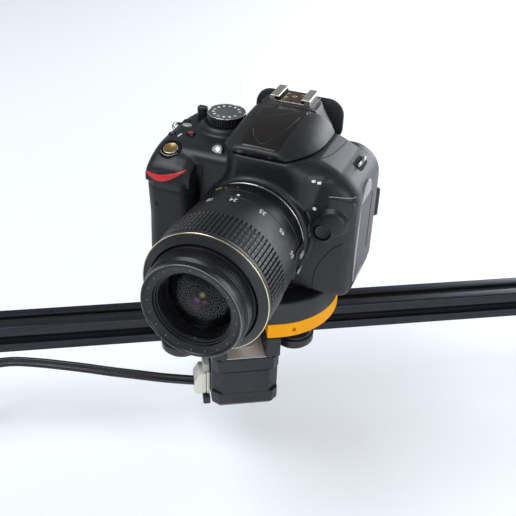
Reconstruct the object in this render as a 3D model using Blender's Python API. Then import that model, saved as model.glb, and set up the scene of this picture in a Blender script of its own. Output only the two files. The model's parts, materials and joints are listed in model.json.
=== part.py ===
"""Motorised camera slider with a panning head and a camera on it.

Everything is in metres, +Z up.  The part stands on four rubber feet at z = 0, with its
origin at the centre of its footprint box.  Three nested frames (empties) place the pieces:
  slider   on the rail's centre line, X along the rail, -Y towards the operator
  head     on the vertical pan axis, turned by PAN_ANGLE
  camera   on the pan disc, lens towards -Y, +Z up
"""
import bpy
import bmesh
from math import acos, cos, pi, radians, sin, sqrt, tan
from mathutils import Vector

MM = 0.001
GAP = 0.3 * MM                      # clearance between touching pieces

# ---- driving dimensions -------------------------------------------------------------
RAIL_LENGTH = 600 * MM
RAIL_SIZE = 20 * MM                 # square slotted extrusion
RAIL_Z = 75 * MM                    # rail centre line above the floor
RAIL_Y = 31.33 * MM                 # rail centre line behind the footprint's centre
SLOT_WIDTH = 6.2 * MM

PAN_Y = -6.7 * MM                   # pan axis, from the rail's centre line
PAN_ANGLE = radians(-30)            # how far the camera is turned from straight ahead
BASE_LOW = 22.1 * MM                # underside of the fixed round base above the rail axis
BASE_THICK = 10 * MM
DISC_RADIUS = 46.4 * MM
DISC_TOP = 48.5 * MM                # the face that the camera stands on

GEAR_MODULE = 1.0 * MM
GEAR_TEETH = 50
PINION_TEETH = 15
GEAR_LOW = 35.6 * MM
GEAR_HIGH = 41.0 * MM

MOTOR_X = -19.7 * MM
MOTOR_SIZE = 42.3 * MM              # NEMA 17 frame
MOTOR_LENGTH = 40 * MM
MOTOR_TOP = 6.9 * MM
MOTOR_Y = PAN_Y - sqrt((GEAR_MODULE * (GEAR_TEETH + PINION_TEETH) / 2) ** 2 - MOTOR_X ** 2)

WHEEL_RADIUS = 11.9 * MM
WHEEL_TONGUE = 13.3 * MM
WHEEL_Y = RAIL_SIZE / 2 + GAP + WHEEL_RADIUS
WHEEL_X = {"right": 16.1 * MM, "left": -57.5 * MM}
WHEEL_HALF = 4.6 * MM

BELT_WIDTH = 5.4 * MM
BELT_THICK = 1.4 * MM
PULLEY_RADIUS = 5.6 * MM            # under the belt
PULLEY_X = 313 * MM
BRACKET_INNER = 275 * MM
BRACKET_OUTER = 335 * MM
LEG_HALF = 60 * MM
LEG_X = 286.2 * MM
FOOT_HEIGHT = 6 * MM

PLATE_LOW = 11.6 * MM
PLATE_THICK = 4 * MM

LENS_Z = 40 * MM                    # lens axis above the camera's base
FLANGE_Y = -31 * MM                 # lens mount, ahead of the pan axis
BARREL_RADIUS = 36.3 * MM
LENS_FRONT = -117.5 * MM

BODY_LEFT, BODY_RIGHT = -68 * MM, 59 * MM
BODY_FRONT, BODY_SPLIT, BODY_BACK = -24 * MM, 22 * MM, 34 * MM
BODY_TOP = 80 * MM
HUMP_TOP = 97.6 * MM
HUMP_LEFT = -23.6 * MM              # the hump is steep beside the mode dial
FLASH_AXIS = (22 * MM, 97.6 * MM)   # y, z of the flash head's hinge, its upper rear edge
SHUTTER = (-56.5 * MM, -22 * MM, 76 * MM)
RECORD = (-52 * MM, -4 * MM, BODY_TOP)
RELEASE = (41 * MM, BODY_FRONT, 47 * MM)
DIAL = (-36.5 * MM, 14.6 * MM)
DIAL_RADIUS = 12 * MM
DIAL_TOP = 90.2 * MM
COMMAND = (-52.5 * MM, 29.4 * MM, 74 * MM)
COMMAND_RADIUS = 6.5 * MM
LCD_X = 56 * MM                     # hinge line of the screen
LCD_Z = 37 * MM
LCD_Y = BODY_BACK + GAP + 3.6 * MM

CABLE_RADIUS = 3.2 * MM             # stands for two strands side by side
CABLE_END = (-LEG_X + 5 * MM + 24 * MM + 2 * GAP, 2 * MM, -33 * MM)
CABLE_DROP = [                      # mm in the slider's frame, from the plug down to the floor
    (-52.2, -33.0, -25.2), (-70.0, -31.2, -23.2), (-87.0, -28.0, -21.6), (-105.0, -24.0, -20.4),
    (-120.5, -20.0, -19.4), (-137.0, -16.0, -18.6), (-152.0, -12.4, -18.2), (-169.0, -9.6, -18.0),
    (-183.0, -8.4, -21.0), (-193.0, -8.0, -29.5), (-198.4, -9.0, -42.0), (-199.8, -7.4, -54.5),
    (-199.4, -1.2, -64.0), (-200.3, 7.2, -69.6), (-203.9, 14.0, -71.4),
]
CABLE_RISE = [(-216.0, 9.2, -37.4), (-220.6, 11.9, -36.6), (-227.6, 12.6, -35.8), (-236.0, 10.6, -34.8),
              (-246.0, 6.2, -33.9)]    # from the coil up to the control box
COIL_CENTRE = (-226.0, -3.0)
COIL_RADIUS = 27.0
COIL_STEP = 6.6                     # one turn lies this far inside the one before

BLACK_PLASTIC = (0.030, 0.031, 0.034)
DARK_ALUMINIUM = (0.045, 0.047, 0.055)
RUBBER = (0.02, 0.02, 0.02)
STEEL = (0.62, 0.62, 0.63)


# ---- helpers ------------------------------------------------------------------------
def clear_scene():
    for obj in list(bpy.data.objects):
        bpy.data.objects.remove(obj, do_unlink=True)


def material(name, colour, roughness=0.5, metallic=0.0):
    if name in bpy.data.materials:
        return bpy.data.materials[name]
    mat = bpy.data.materials.new(name)
    mat.use_nodes = True
    shader = mat.node_tree.nodes["Principled BSDF"]
    shader.inputs["Base Color"].default_value = (*colour, 1)
    shader.inputs["Roughness"].default_value = roughness
    shader.inputs["Metallic"].default_value = metallic
    mat.diffuse_color = (*colour, 1)
    return mat


def plastic(name="black_plastic", colour=BLACK_PLASTIC, roughness=0.45):
    return material(name, colour, roughness)


def metal(name="steel", colour=STEEL, roughness=0.3):
    return material(name, colour, roughness, 1.0)


def frame(name, parent=None, location=(0, 0, 0), turn=0.0):
    empty = bpy.data.objects.new(name, None)
    bpy.context.collection.objects.link(empty)
    empty.location = location
    empty.rotation_euler = (0, 0, turn)
    empty.parent = parent
    return empty


def place(name, bm, mat, parent=None, location=(0, 0, 0), rotation=(0, 0, 0), smooth=False):
    bmesh.ops.recalc_face_normals(bm, faces=bm.faces)
    mesh = bpy.data.meshes.new(name)
    bm.to_mesh(mesh)
    bm.free()
    mesh.materials.append(mat)
    if smooth:
        mesh.shade_smooth()
        mesh.set_sharp_from_angle(angle=radians(35))
    obj = bpy.data.objects.new(name, mesh)
    bpy.context.collection.objects.link(obj)
    obj.parent = parent
    obj.location = location
    obj.rotation_euler = rotation
    return obj


def axis_point(axis, a, b, t):
    return {"x": (t, a, b), "y": (a, t, b), "z": (a, b, t)}[axis]


def loft(sections, axis="z"):
    """Closed body through sections: a list of (position, outline), outlines of one length."""
    bm = bmesh.new()
    rings = [[bm.verts.new(axis_point(axis, a, b, t)) for a, b in outline] for t, outline in sections]
    count = len(rings[0])
    for low, high in zip(rings, rings[1:]):
        for i in range(count):
            j = (i + 1) % count
            bm.faces.new((low[i], low[j], high[j], high[i]))
    bm.faces.new(rings[0][::-1])
    bm.faces.new(rings[-1])
    return bm


def prism(outline, low, high, axis="z"):
    return loft([(low, outline), (high, outline)], axis)


def rectangle(x0, x1, y0, y1):
    return [(x0, y0), (x1, y0), (x1, y1), (x0, y1)]


def box(x0, x1, y0, y1, z0, z1):
    return prism(rectangle(x0, x1, y0, y1), z0, z1)


def circle(radius, count, cx=0.0, cy=0.0):
    return [(cx + radius * cos(2 * pi * i / count),
             cy + radius * sin(2 * pi * i / count)) for i in range(count)]


def arc(cx, cy, radius, start, end, count):
    return [(cx + radius * cos(start + (end - start) * i / count),
             cy + radius * sin(start + (end - start) * i / count)) for i in range(count + 1)]


def round_rectangle(x0, x1, y0, y1, radius, count=3):
    """Counter-clockwise outline; radius is one value or four, from the low corner on."""
    r = radius if isinstance(radius, (tuple, list)) else (radius,) * 4
    corners = [(x0 + r[0], y0 + r[0], pi), (x1 - r[1], y0 + r[1], 1.5 * pi),
               (x1 - r[2], y1 - r[2], 0.0), (x0 + r[3], y1 - r[3], 0.5 * pi)]
    points = []
    for (cx, cy, start), rad in zip(corners, r):
        points += arc(cx, cy, rad, start, start + pi / 2, count)
    return points


def chamfered_square(half, cut):
    return [(-half + cut, -half), (half - cut, -half), (half, -half + cut), (half, half - cut),
            (half - cut, half), (-half + cut, half), (-half, half - cut), (-half, -half + cut)]


def turned(profile, steps):
    """Revolve (radius, height) points round Z.  Points at radius 0 become single poles; a
    profile without poles closes on itself into a ring."""
    bm = bmesh.new()
    rings = []
    for radius, height in profile:
        if radius == 0:
            rings.append([bm.verts.new((0, 0, height))])
        else:
            rings.append([bm.verts.new((x, y, height)) for x, y in circle(radius, steps)])
    pairs = list(zip(rings, rings[1:]))
    if profile[0][0] != 0:
        pairs.append((rings[-1], rings[0]))
    for low, high in pairs:
        for i in range(steps):
            j = (i + 1) % steps
            corners = [low[i % len(low)], low[j % len(low)], high[j % len(high)], high[i % len(high)]]
            unique = list(dict.fromkeys(corners))
            if len(unique) > 2:
                bm.faces.new(unique)
    return bm


def drum(radius, low, high, bevel=0.0):
    """Profile of a solid disc or pin, with bevelled rims."""
    if bevel == 0:
        return [(0, low), (radius, low), (radius, high), (0, high)]
    return [(0, low), (radius - bevel, low), (radius, low + bevel), (radius, high - bevel),
            (radius - bevel, high), (0, high)]


def ring(inner, outer, low, high, bevel=0.0):
    if bevel == 0:
        return [(inner, low), (outer, low), (outer, high), (inner, high)]
    return [(inner, low), (outer - bevel, low), (outer, low + bevel), (outer, high - bevel),
            (outer - bevel, high), (inner, high)]


def cutter(name, bm, parent=None, location=(0, 0, 0), rotation=(0, 0, 0)):
    obj = place(name, bm, plastic(), parent, location, rotation)
    obj.hide_render = True
    obj.display_type = "WIRE"
    return obj


def combine(obj, tools, operation="DIFFERENCE"):
    for tool in tools:
        step = obj.modifiers.new(tool.name, "BOOLEAN")
        step.operation = operation
        step.object = tool
        step.solver = "EXACT"
    return obj


def drill(obj, name, points, radius, low, high, parent, steps=16):
    tools = []
    for i, (x, y) in enumerate(points):
        tools.append(cutter(f"{name}_hole_{i}", turned(drum(radius, low, high), steps), parent, (x, y, 0)))
    return combine(obj, tools)


# ---- rail, ends and legs ------------------------------------------------------------
def rail_outline():
    """Square with a T slot in each side; one side is listed and turned four times."""
    half = RAIL_SIZE / 2
    mouth = SLOT_WIDTH / 2
    side = [(-half, half), (-mouth - 0.6 * MM, half), (-mouth, half - 0.6 * MM), (-mouth, half - 1.8 * MM),
            (-5.4 * MM, half - 1.8 * MM), (-5.4 * MM, half - 3.2 * MM), (-2.9 * MM, half - 5.7 * MM),
            (2.9 * MM, half - 5.7 * MM), (5.4 * MM, half - 3.2 * MM), (5.4 * MM, half - 1.8 * MM),
            (mouth, half - 1.8 * MM), (mouth, half - 0.6 * MM), (mouth + 0.6 * MM, half)]
    points = []
    for quarter in range(4):
        c, s = cos(-quarter * pi / 2), sin(-quarter * pi / 2)
        points += [(x * c - y * s, x * s + y * c) for x, y in side]
    return points


def make_rail(slider):
    mat = metal("dark_anodised", DARK_ALUMINIUM, 0.45)
    place("rail", prism(rail_outline(), -RAIL_LENGTH / 2, RAIL_LENGTH / 2, "x"), mat, slider)


def make_bracket(side, name, slider):
    """U-shaped end block: two cheeks beside the rail and a web under it."""
    mat = plastic("black_printed", (0.028, 0.029, 0.031), 0.55)
    inner = RAIL_SIZE / 2 + GAP
    outer = inner + 5.7 * MM
    cheek_top = {"left": 21 * MM, "right": 10.6 * MM}[name]
    outline = [(-outer, -16 * MM), (outer, -16 * MM), (outer, cheek_top), (inner, cheek_top),
               (inner, -inner), (-inner, -inner), (-inner, 10.6 * MM), (-outer, 10.6 * MM)]
    ends = sorted((side * BRACKET_INNER, side * BRACKET_OUTER))
    bracket = place(f"bracket_{name}", prism(outline, ends[0], ends[1], "x"), mat, slider)
    bore = cutter(f"bracket_{name}_bore", turned(drum(3.2 * MM, -20 * MM, 20 * MM), 20), slider,
                  (side * PULLEY_X, 0, 0), (pi / 2, 0, 0))
    combine(bracket, [bore])


def make_leg(side, name, slider):
    """Splayed foot frame under the web, with an arch cut out of its middle."""
    mat = plastic("black_printed")
    floor = -RAIL_Z + FOOT_HEIGHT + GAP
    top = -16 * MM - GAP
    outline = [(-LEG_HALF, floor), (-LEG_HALF + 20 * MM, floor), (-14 * MM, top - 14 * MM),
               (14 * MM, top - 14 * MM),
               (LEG_HALF - 20 * MM, floor), (LEG_HALF, floor), (LEG_HALF, floor + 5 * MM), (18 * MM, top),
               (-18 * MM, top), (-LEG_HALF, floor + 5 * MM)]
    centre = side * LEG_X
    place(f"leg_{name}", prism(outline, centre - 5 * MM, centre + 5 * MM, "x"), mat, slider)
    rubber = material("rubber", RUBBER, 0.8)
    for end, y in (("front", -1), ("back", 1)):
        profile = drum(8 * MM, 0, FOOT_HEIGHT, 1 * MM)
        place(f"foot_{name}_{end}", turned(profile, 16), rubber, slider,
              (centre, y * (LEG_HALF - 10 * MM), -RAIL_Z), smooth=True)


def belt_path(radius, count=8):
    """Loop in the X-Z plane: straight runs in the rail's slots, half circles round the pulleys."""
    return arc(PULLEY_X, 0, radius, -pi / 2, pi / 2, count) + arc(-PULLEY_X, 0, radius, pi / 2, 1.5 * pi,
                                                                  count)


def make_belt(slider):
    inner = belt_path(PULLEY_RADIUS + GAP)
    outer = belt_path(PULLEY_RADIUS + GAP + BELT_THICK)
    bm = bmesh.new()
    loops = []
    for path, y in ((inner, -1), (outer, -1), (outer, 1), (inner, 1)):
        loops.append([bm.verts.new((x, y * BELT_WIDTH / 2, z)) for x, z in path])
    for a, b in zip(loops, loops[1:] + loops[:1]):
        for i in range(len(inner)):
            j = (i + 1) % len(inner)
            bm.faces.new((a[i], a[j], b[j], b[i]))
    place("belt", bm, material("belt_rubber", (0.02, 0.02, 0.022), 0.7), slider)


def make_pulley(name, x, slider):
    """Toothed belt pulley with two flanges, turning on a shaft along Y."""
    shaft = 2.5 * MM
    flange = PULLEY_RADIUS + 2.4 * MM
    w = BELT_WIDTH / 2 + GAP
    profile = [(0, -16 * MM), (shaft, -16 * MM), (shaft, -w - 1.2 * MM), (flange, -w - 1.2 * MM),
               (flange, -w),
               (PULLEY_RADIUS, -w), (PULLEY_RADIUS, w), (flange, w), (flange, w + 1.2 * MM),
               (shaft, w + 1.2 * MM), (shaft, 16 * MM), (0, 16 * MM)]
    place(name, turned(profile, 16), metal("pulley_aluminium", (0.6, 0.6, 0.61), 0.35), slider,
          (x, 0, 0), (pi / 2, 0, 0), smooth=True)


def motor_piece(name, parent, location, rotation, low, high, cut, mat, boss=False):
    """One slice of a square stepper motor whose shaft points along +Z of the piece."""
    bm = prism(chamfered_square(MOTOR_SIZE / 2, cut), low, high)
    piece = place(name, bm, mat, parent, location, rotation)
    if boss:
        hole = cutter(f"{name}_bore", turned(drum(3.2 * MM, low - 1 * MM, high + 1 * MM), 20), parent,
                      location, rotation)
        combine(piece, [hole])
    return piece


def make_motor(prefix, parent, location, rotation):
    """Front bell, laminated stack and rear bell.  The mounting face is at the local origin."""
    bell = metal("motor_bell", (0.55, 0.54, 0.52), 0.35)
    stack = metal("motor_stack", (0.03, 0.03, 0.033), 0.5)
    rear = plastic("motor_rear_black", (0.025, 0.025, 0.027), 0.4)
    motor_piece(f"{prefix}_bell", parent, location, rotation, -10 * MM, 0, 4 * MM, bell, boss=True)
    motor_piece(f"{prefix}_stack", parent, location, rotation, -27.7 * MM, -10 * MM - GAP, 6.5 * MM, stack)
    motor_piece(f"{prefix}_cap", parent, location, rotation, -MOTOR_LENGTH, -27.7 * MM - GAP, 4 * MM, rear)


def make_slide_drive(slider):
    make_motor("slide_motor", slider, (-PULLEY_X, RAIL_SIZE / 2 + 6 * MM + 2 * GAP, 0), (pi / 2, 0, 0))


def make_control_box(slider):
    mat = plastic("black_printed")
    outline = round_rectangle(-6 * MM, 42 * MM, -52 * MM, -18 * MM, 3 * MM)
    right = -LEG_X + 5 * MM + GAP
    body = place("control_box", prism(outline, right, right + 24 * MM, "x"), mat, slider)
    socket = cutter("control_socket", box(0, 2.2 * MM, -6 * MM, 6 * MM, -4 * MM, 4 * MM), slider,
                    (right + 22 * MM, CABLE_END[1], CABLE_END[2]))
    combine(body, [socket])


# ---- carriage -----------------------------------------------------------------------
def carriage_holes():
    return [(x, s * WHEEL_Y) for x in WHEEL_X.values() for s in (-1, 1)]


def make_carriage_plate(carriage):
    """Black plate over the rail; it stops short of the pan motor at the front."""
    y = WHEEL_Y + 9 * MM
    front = MOTOR_Y + MOTOR_SIZE / 2 + 2 * MM
    left, right = WHEEL_X["left"] - 10 * MM, WHEEL_X["right"] + 11 * MM
    outline = [(left, -y), (-44.5 * MM, -y), (-44.5 * MM, front), (3.2 * MM, front), (3.2 * MM, -y),
               (right, -y),
               (right, y), (left, y)]
    plate = place("carriage_plate", prism(outline, PLATE_LOW, PLATE_LOW + PLATE_THICK),
                  metal("black_anodised", (0.03, 0.031, 0.034), 0.4), carriage)
    drill(plate, "carriage_plate", carriage_holes(), 2.8 * MM, PLATE_LOW - 1 * MM,
          PLATE_LOW + PLATE_THICK + 1 * MM,
          carriage)


def make_axle(name, x, y, carriage):
    """Bolt of one wheel: head over the plate, spacer under it, nut below the wheel."""
    low = PLATE_LOW - GAP
    top = PLATE_LOW + PLATE_THICK + GAP
    profile = [(0, -9.2 * MM), (4 * MM, -9.2 * MM), (4 * MM, -WHEEL_HALF - GAP),
               (2.4 * MM, -WHEEL_HALF - GAP),
               (2.4 * MM, WHEEL_HALF + GAP), (4.4 * MM, WHEEL_HALF + GAP), (4.4 * MM, low), (2.5 * MM, low),
               (2.5 * MM, top), (4.6 * MM, top), (4.6 * MM, top + 2.6 * MM), (0, top + 2.6 * MM)]
    place(name, turned(profile, 10), metal(), carriage, (x, y, 0), smooth=True)


def make_wheel(name, x, y, carriage):
    """Roller whose middle tongue runs in the rail's side slot."""
    tongue = SLOT_WIDTH / 2 - 0.5 * MM
    shoulder = WHEEL_RADIUS
    profile = [(2.7 * MM, -WHEEL_HALF), (shoulder - 1 * MM, -WHEEL_HALF), (shoulder, -WHEEL_HALF + 1 * MM),
               (shoulder, -tongue), (WHEEL_TONGUE, -tongue), (WHEEL_TONGUE, tongue), (shoulder, tongue),
               (shoulder, WHEEL_HALF - 1 * MM), (shoulder - 1 * MM, WHEEL_HALF), (2.7 * MM, WHEEL_HALF)]
    place(name, turned(profile, 20), plastic("wheel_polymer", (0.04, 0.042, 0.05), 0.4), carriage,
          (x, y, 0),
          smooth=True)


def make_belt_clamp(carriage):
    """Block under the plate that presses on the belt's upper run in the slot."""
    belt_top = PULLEY_RADIUS + GAP + BELT_THICK
    bm = box(-32 * MM, -14 * MM, -2.6 * MM, 2.6 * MM, belt_top + GAP, PLATE_LOW - GAP)
    place("belt_clamp", bm, metal("clamp_aluminium", (0.5, 0.5, 0.5), 0.4), carriage)


def make_motor_bracket(carriage):
    """Spacer between the pan motor's face and the round base: a U that is open to the front."""
    x0, x1 = MOTOR_X - MOTOR_SIZE / 2, MOTOR_X + MOTOR_SIZE / 2
    y0, y1 = MOTOR_Y - MOTOR_SIZE / 2, MOTOR_Y + MOTOR_SIZE / 2
    inner_left, inner_right = MOTOR_X - 12 * MM, MOTOR_X + 11.8 * MM
    outline = [(x0, y0), (inner_left, y0), (inner_left, MOTOR_Y + 12 * MM),
               (inner_right, MOTOR_Y + 12 * MM),
               (inner_right, y0), (x1, y0), (x1, y1), (x0, y1)]
    place("motor_bracket", prism(outline, MOTOR_TOP + GAP, BASE_LOW - GAP), plastic("bracket_black"),
          carriage)


def base_outline():
    """Round plate, notched at the front left so that the pan motor's face is bare."""
    front = PAN_Y - DISC_RADIUS
    notch_left, notch_right = -34.2 * MM, -7.2 * MM
    end = 2 * pi - acos(notch_left / DISC_RADIUS)
    points = [(x, y + PAN_Y) for x, y in arc(0, 0, DISC_RADIUS, -pi / 2, end, 40)]
    notch_depth = points[-1][1] + 6 * MM
    return points + [(notch_right - 2 * MM, notch_depth), (notch_right, front + 8 * MM),
                     (notch_right, front)]


def make_base(carriage):
    orange = material("orange_plate", (0.95, 0.36, 0.03), 0.45)
    base = place("pan_base", prism(base_outline(), BASE_LOW, BASE_LOW + BASE_THICK), orange, carriage)
    shaft_hole = cutter("pan_base_shaft_hole",
                        turned(drum(5 * MM, BASE_LOW - 1 * MM, BASE_LOW + BASE_THICK + 1 * MM), 20),
                        carriage, (MOTOR_X, MOTOR_Y, 0))
    screw_hole = cutter("pan_base_screw_hole", turned(drum(1.3 * MM, -8 * MM, 4 * MM), 10), carriage,
                        (9.7 * MM, PAN_Y - DISC_RADIUS, BASE_LOW + 4 * MM), (pi / 2, 0, 0.2))
    combine(base, [shaft_hole, screw_hole])


def make_base_spacer(carriage):
    """Round post that carries the base on the carriage plate."""
    profile = drum(24 * MM, PLATE_LOW + PLATE_THICK + GAP, BASE_LOW - GAP)
    post = place("base_spacer", turned(profile, 36), plastic("bracket_black"), carriage, (0, PAN_Y, 0))
    relief = box(-60 * MM, 1.9 * MM, -60 * MM, MOTOR_Y + MOTOR_SIZE / 2 + GAP, 0, 40 * MM)
    heads = [cutter(f"base_spacer_head_{i}", turned(drum(5.2 * MM, 10 * MM, 21 * MM), 16), carriage,
                    (x, y, 0))
             for i, (x, y) in enumerate(carriage_holes())]
    combine(post, [cutter("base_spacer_relief", relief, carriage)] + heads)


def make_bearing(carriage):
    low = BASE_LOW + BASE_THICK + GAP
    place("pan_bearing", turned(ring(11 * MM, 19 * MM, low, GEAR_LOW - GAP), 24), metal(), carriage,
          (0, PAN_Y, 0),
          smooth=True)


def gear_outline(teeth, backlash, addendum=1.0, flank_points=2):
    """Involute spur gear outline, 20 degree pressure angle."""
    pressure = radians(20)
    pitch = GEAR_MODULE * teeth / 2
    base = pitch * cos(pressure)
    root = pitch - 1.25 * GEAR_MODULE
    tip = pitch + addendum * GEAR_MODULE

    def half_angle(radius):
        angle = acos(min(1.0, base / max(radius, base)))
        involute = tan(angle) - angle
        return pi / (2 * teeth) - backlash / (2 * pitch) + tan(pressure) - pressure - involute

    radii = [root] + [max(root,
                          base) + (tip - max(root,
                                             base)) * i / flank_points for i in range(flank_points + 1)]
    radii = sorted(set(radii))
    points = []
    for tooth in range(teeth):
        middle = 2 * pi * tooth / teeth
        for radius in radii:
            angle = middle - half_angle(radius)
            points.append((radius * cos(angle), radius * sin(angle)))
        for radius in reversed(radii):
            angle = middle + half_angle(radius)
            points.append((radius * cos(angle), radius * sin(angle)))
    return points


def make_pinion(carriage):
    """Motor shaft and pinion in one piece; a tooth gap faces the big gear's first tooth."""
    pinion = place("pinion", prism(gear_outline(PINION_TEETH, 0.12 * MM, 0.9), GEAR_LOW, GEAR_HIGH),
                   metal("pinion_steel"), carriage, (MOTOR_X, MOTOR_Y, 0), (0, 0, pinion_turn()))
    shaft = cutter("pinion_shaft", turned(drum(2.5 * MM, -1 * MM, GEAR_HIGH - 1 * MM), 16), carriage,
                   (MOTOR_X, MOTOR_Y, 0))
    combine(pinion, [shaft], "UNION")


def gear_direction():
    """Direction from the pan axis to the pinion, in the slider's frame."""
    direction = Vector((MOTOR_X, MOTOR_Y - PAN_Y, 0))
    return Vector((1, 0, 0)).rotation_difference(direction).to_euler().z


def pinion_turn():
    """The pinion's tooth gap, half a tooth pitch from its first tooth, points at the pan axis."""
    return gear_direction() + pi + pi / PINION_TEETH


# ---- panning head -------------------------------------------------------------------
def make_disc(head):
    """Black cap over the gears, open below, with a rounded upper rim."""
    low = BASE_LOW + BASE_THICK + GAP
    top = DISC_TOP - 1 * MM
    inner = DISC_RADIUS - 3.5 * MM
    roof = GEAR_HIGH + GAP
    profile = [(3.6 * MM, roof), (inner, roof), (inner, low), (DISC_RADIUS, low),
               (DISC_RADIUS, top - 2 * MM),
               (DISC_RADIUS - 0.6 * MM, top - 0.6 * MM), (DISC_RADIUS - 2 * MM, top), (3.6 * MM, top)]
    place("pan_disc", turned(profile, 48), plastic("disc_black", roughness=0.5), head, smooth=True)


def make_gear(head):
    gear = place("pan_gear", prism(gear_outline(GEAR_TEETH, 0.12 * MM, 0.85), GEAR_LOW, GEAR_HIGH),
                 plastic("gear_polymer", (0.1, 0.1, 0.1), 0.4), head, (0, 0, 0), (0, 0,
                                                                                  gear_direction() - PAN_ANGLE))
    combine(gear, [cutter("pan_gear_bore", turned(drum(9 * MM, GEAR_LOW - 1 * MM, GEAR_HIGH + 1 * MM), 20),
                          head)])


def make_pad(head):
    place("pan_pad", turned(ring(5 * MM, 32 * MM, DISC_TOP - 1 * MM + GAP, DISC_TOP), 24),
          material("rubber", RUBBER, 0.8), head)


def make_camera_screw(head):
    """Quarter-inch screw: head inside the gear's bore, shank up into the camera's base."""
    roof = GEAR_HIGH
    profile = [(0, roof - 4 * MM), (7 * MM, roof - 4 * MM), (7 * MM, roof - GAP), (3.17 * MM, roof - GAP),
               (3.17 * MM, DISC_TOP + 4.5 * MM), (2.4 * MM, DISC_TOP + 5.3 * MM), (0, DISC_TOP + 5.3 * MM)]
    place("camera_screw", turned(profile, 14), metal(), head, smooth=True)


# ---- pan motor's cable --------------------------------------------------------------
def smooth_path(points, per_span=3):
    """Catmull-Rom curve through the route's points."""
    knots = [Vector(p) for p in points]
    knots = [2 * knots[0] - knots[1]] + knots + [2 * knots[-1] - knots[-2]]
    path = []
    for a, b, c, d in zip(knots, knots[1:], knots[2:], knots[3:]):
        for i in range(per_span):
            t = i / per_span
            path.append(0.5 * (2 * b + (c - a) * t + (2 * a - 5 * b + 4 * c - d) * t * t
                               + (3 * b - 3 * c + d - a) * t ** 3))
    return path + [knots[-2]]


def coil_points():
    """Spare length in two flat turns on the floor; the last part climbs inside them."""
    points = []
    floor = -RAIL_Z / MM + CABLE_RADIUS / MM + 0.2
    for angle in range(52, 754, 20):
        radius = max(COIL_RADIUS - COIL_STEP * (angle - 42) / 360, 15.4)
        t = max(0.0, (angle - 590) / 192)
        points.append((COIL_CENTRE[0] + radius * cos(radians(angle)),
                       COIL_CENTRE[1] + radius * sin(radians(angle)), floor + 35 * (3 - 2 * t) * t * t))
    return points


def make_cable(slider):
    """Twin lead, drawn as one round tube of the pair's cross-section."""
    route = CABLE_DROP + coil_points() + CABLE_RISE
    route = [tuple(v * MM for v in point) for point in route] + [CABLE_END]
    curve = bpy.data.curves.new("pan_cable", "CURVE")
    curve.dimensions = "3D"
    curve.bevel_depth = CABLE_RADIUS
    curve.bevel_resolution = 2
    curve.use_fill_caps = True
    path = smooth_path(route, 2)
    spline = curve.splines.new("POLY")
    spline.points.add(len(path) - 1)
    for point, dest in zip(path, spline.points):
        dest.co = (*point, 1)
    curve.materials.append(material("cable_black", (0.02, 0.02, 0.022), 0.5))
    obj = bpy.data.objects.new("pan_cable", curve)
    bpy.context.collection.objects.link(obj)
    obj.parent = slider


def make_connector(carriage):
    """White header on the motor's left side and the plug with both strands in it."""
    white = plastic("connector_white", (0.8, 0.77, 0.68), 0.5)
    side = MOTOR_X - MOTOR_SIZE / 2
    place("pan_motor_connector", box(side - 2.4 * MM, side - GAP, -41 * MM, -25 * MM, -31 * MM, -18.6 * MM),
          white, carriage)
    place("cable_plug", box(side - 10.3 * MM, side - 2.4 * MM - GAP, -40 * MM, -26 * MM, -30 * MM, -20 * MM),
          white, carriage)


# ---- camera -------------------------------------------------------------------------


def body_section(inset, front_cut):
    return round_rectangle(BODY_LEFT + inset, BODY_RIGHT - inset, BODY_FRONT + front_cut, BODY_SPLIT,
                           (8 * MM, 8 * MM, 0.01 * MM, 0.01 * MM), 3)


def make_body(camera):
    """Front shell: a block with a grip, a lens boss and a prism hump joined on."""
    mat = plastic("body_black", (0.03, 0.031, 0.034), 0.5)
    body = place("camera_body", loft([
        (GAP, body_section(3 * MM, 3 * MM)), (5 * MM, body_section(0, 0)), (62 * MM, body_section(0, 0)),
        (74 * MM, body_section(2.5 * MM, 3 * MM)), (BODY_TOP, body_section(8 * MM, 10 * MM))]), mat, camera)

    def grip_section(inset, front):
        return round_rectangle(-69 * MM + inset, -39 * MM - inset, front, -10 * MM,
                               (11 * MM, 8 * MM, 1 * MM, 1 * MM), 4)

    grip = cutter("grip_shape", loft([
        (GAP, grip_section(2 * MM, -33 * MM)), (6 * MM, grip_section(0, -36 * MM)),
        (58 * MM, grip_section(0, -37 * MM)), (70 * MM, grip_section(1 * MM, -36 * MM)),
        (76 * MM, grip_section(4 * MM, -32 * MM))]), camera)
    boss = cutter("boss_shape", turned(drum(33.5 * MM, -6 * MM, 7 * MM, 1 * MM), 40), camera,
                  (0, BODY_FRONT, LENS_Z), (pi / 2, 0, 0))
    front = [(-36 * MM, 60 * MM), (36 * MM, 60 * MM), (32 * MM, 80 * MM), (24 * MM, 86 * MM),
             (-20 * MM, 86 * MM), (HUMP_LEFT, 79 * MM)]
    hump = cutter("hump_shape", loft([(-27 * MM, [(x * 0.62, min(z, 84 * MM)) for x, z in front]),
                                      (-8 * MM, front), (BODY_SPLIT, front)], "y"), camera)
    combine(body, [grip, boss, hump], "UNION")
    socket = cutter("tripod_socket", turned(drum(3.6 * MM, -2 * MM, 7 * MM), 20), camera)
    release = cutter("release_pocket", turned(drum(5.4 * MM, -12 * MM, 9 * MM), 20), camera,
                     RELEASE, (pi / 2, 0, 0))
    button = cutter("shutter_pocket", turned(drum(6.9 * MM, -3.6 * MM, 12 * MM), 24), camera, SHUTTER)
    record = cutter("record_pocket", turned(drum(3.1 * MM, -2 * MM, 6 * MM), 16), camera, RECORD)
    combine(body, [socket, release, button, record])


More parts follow.
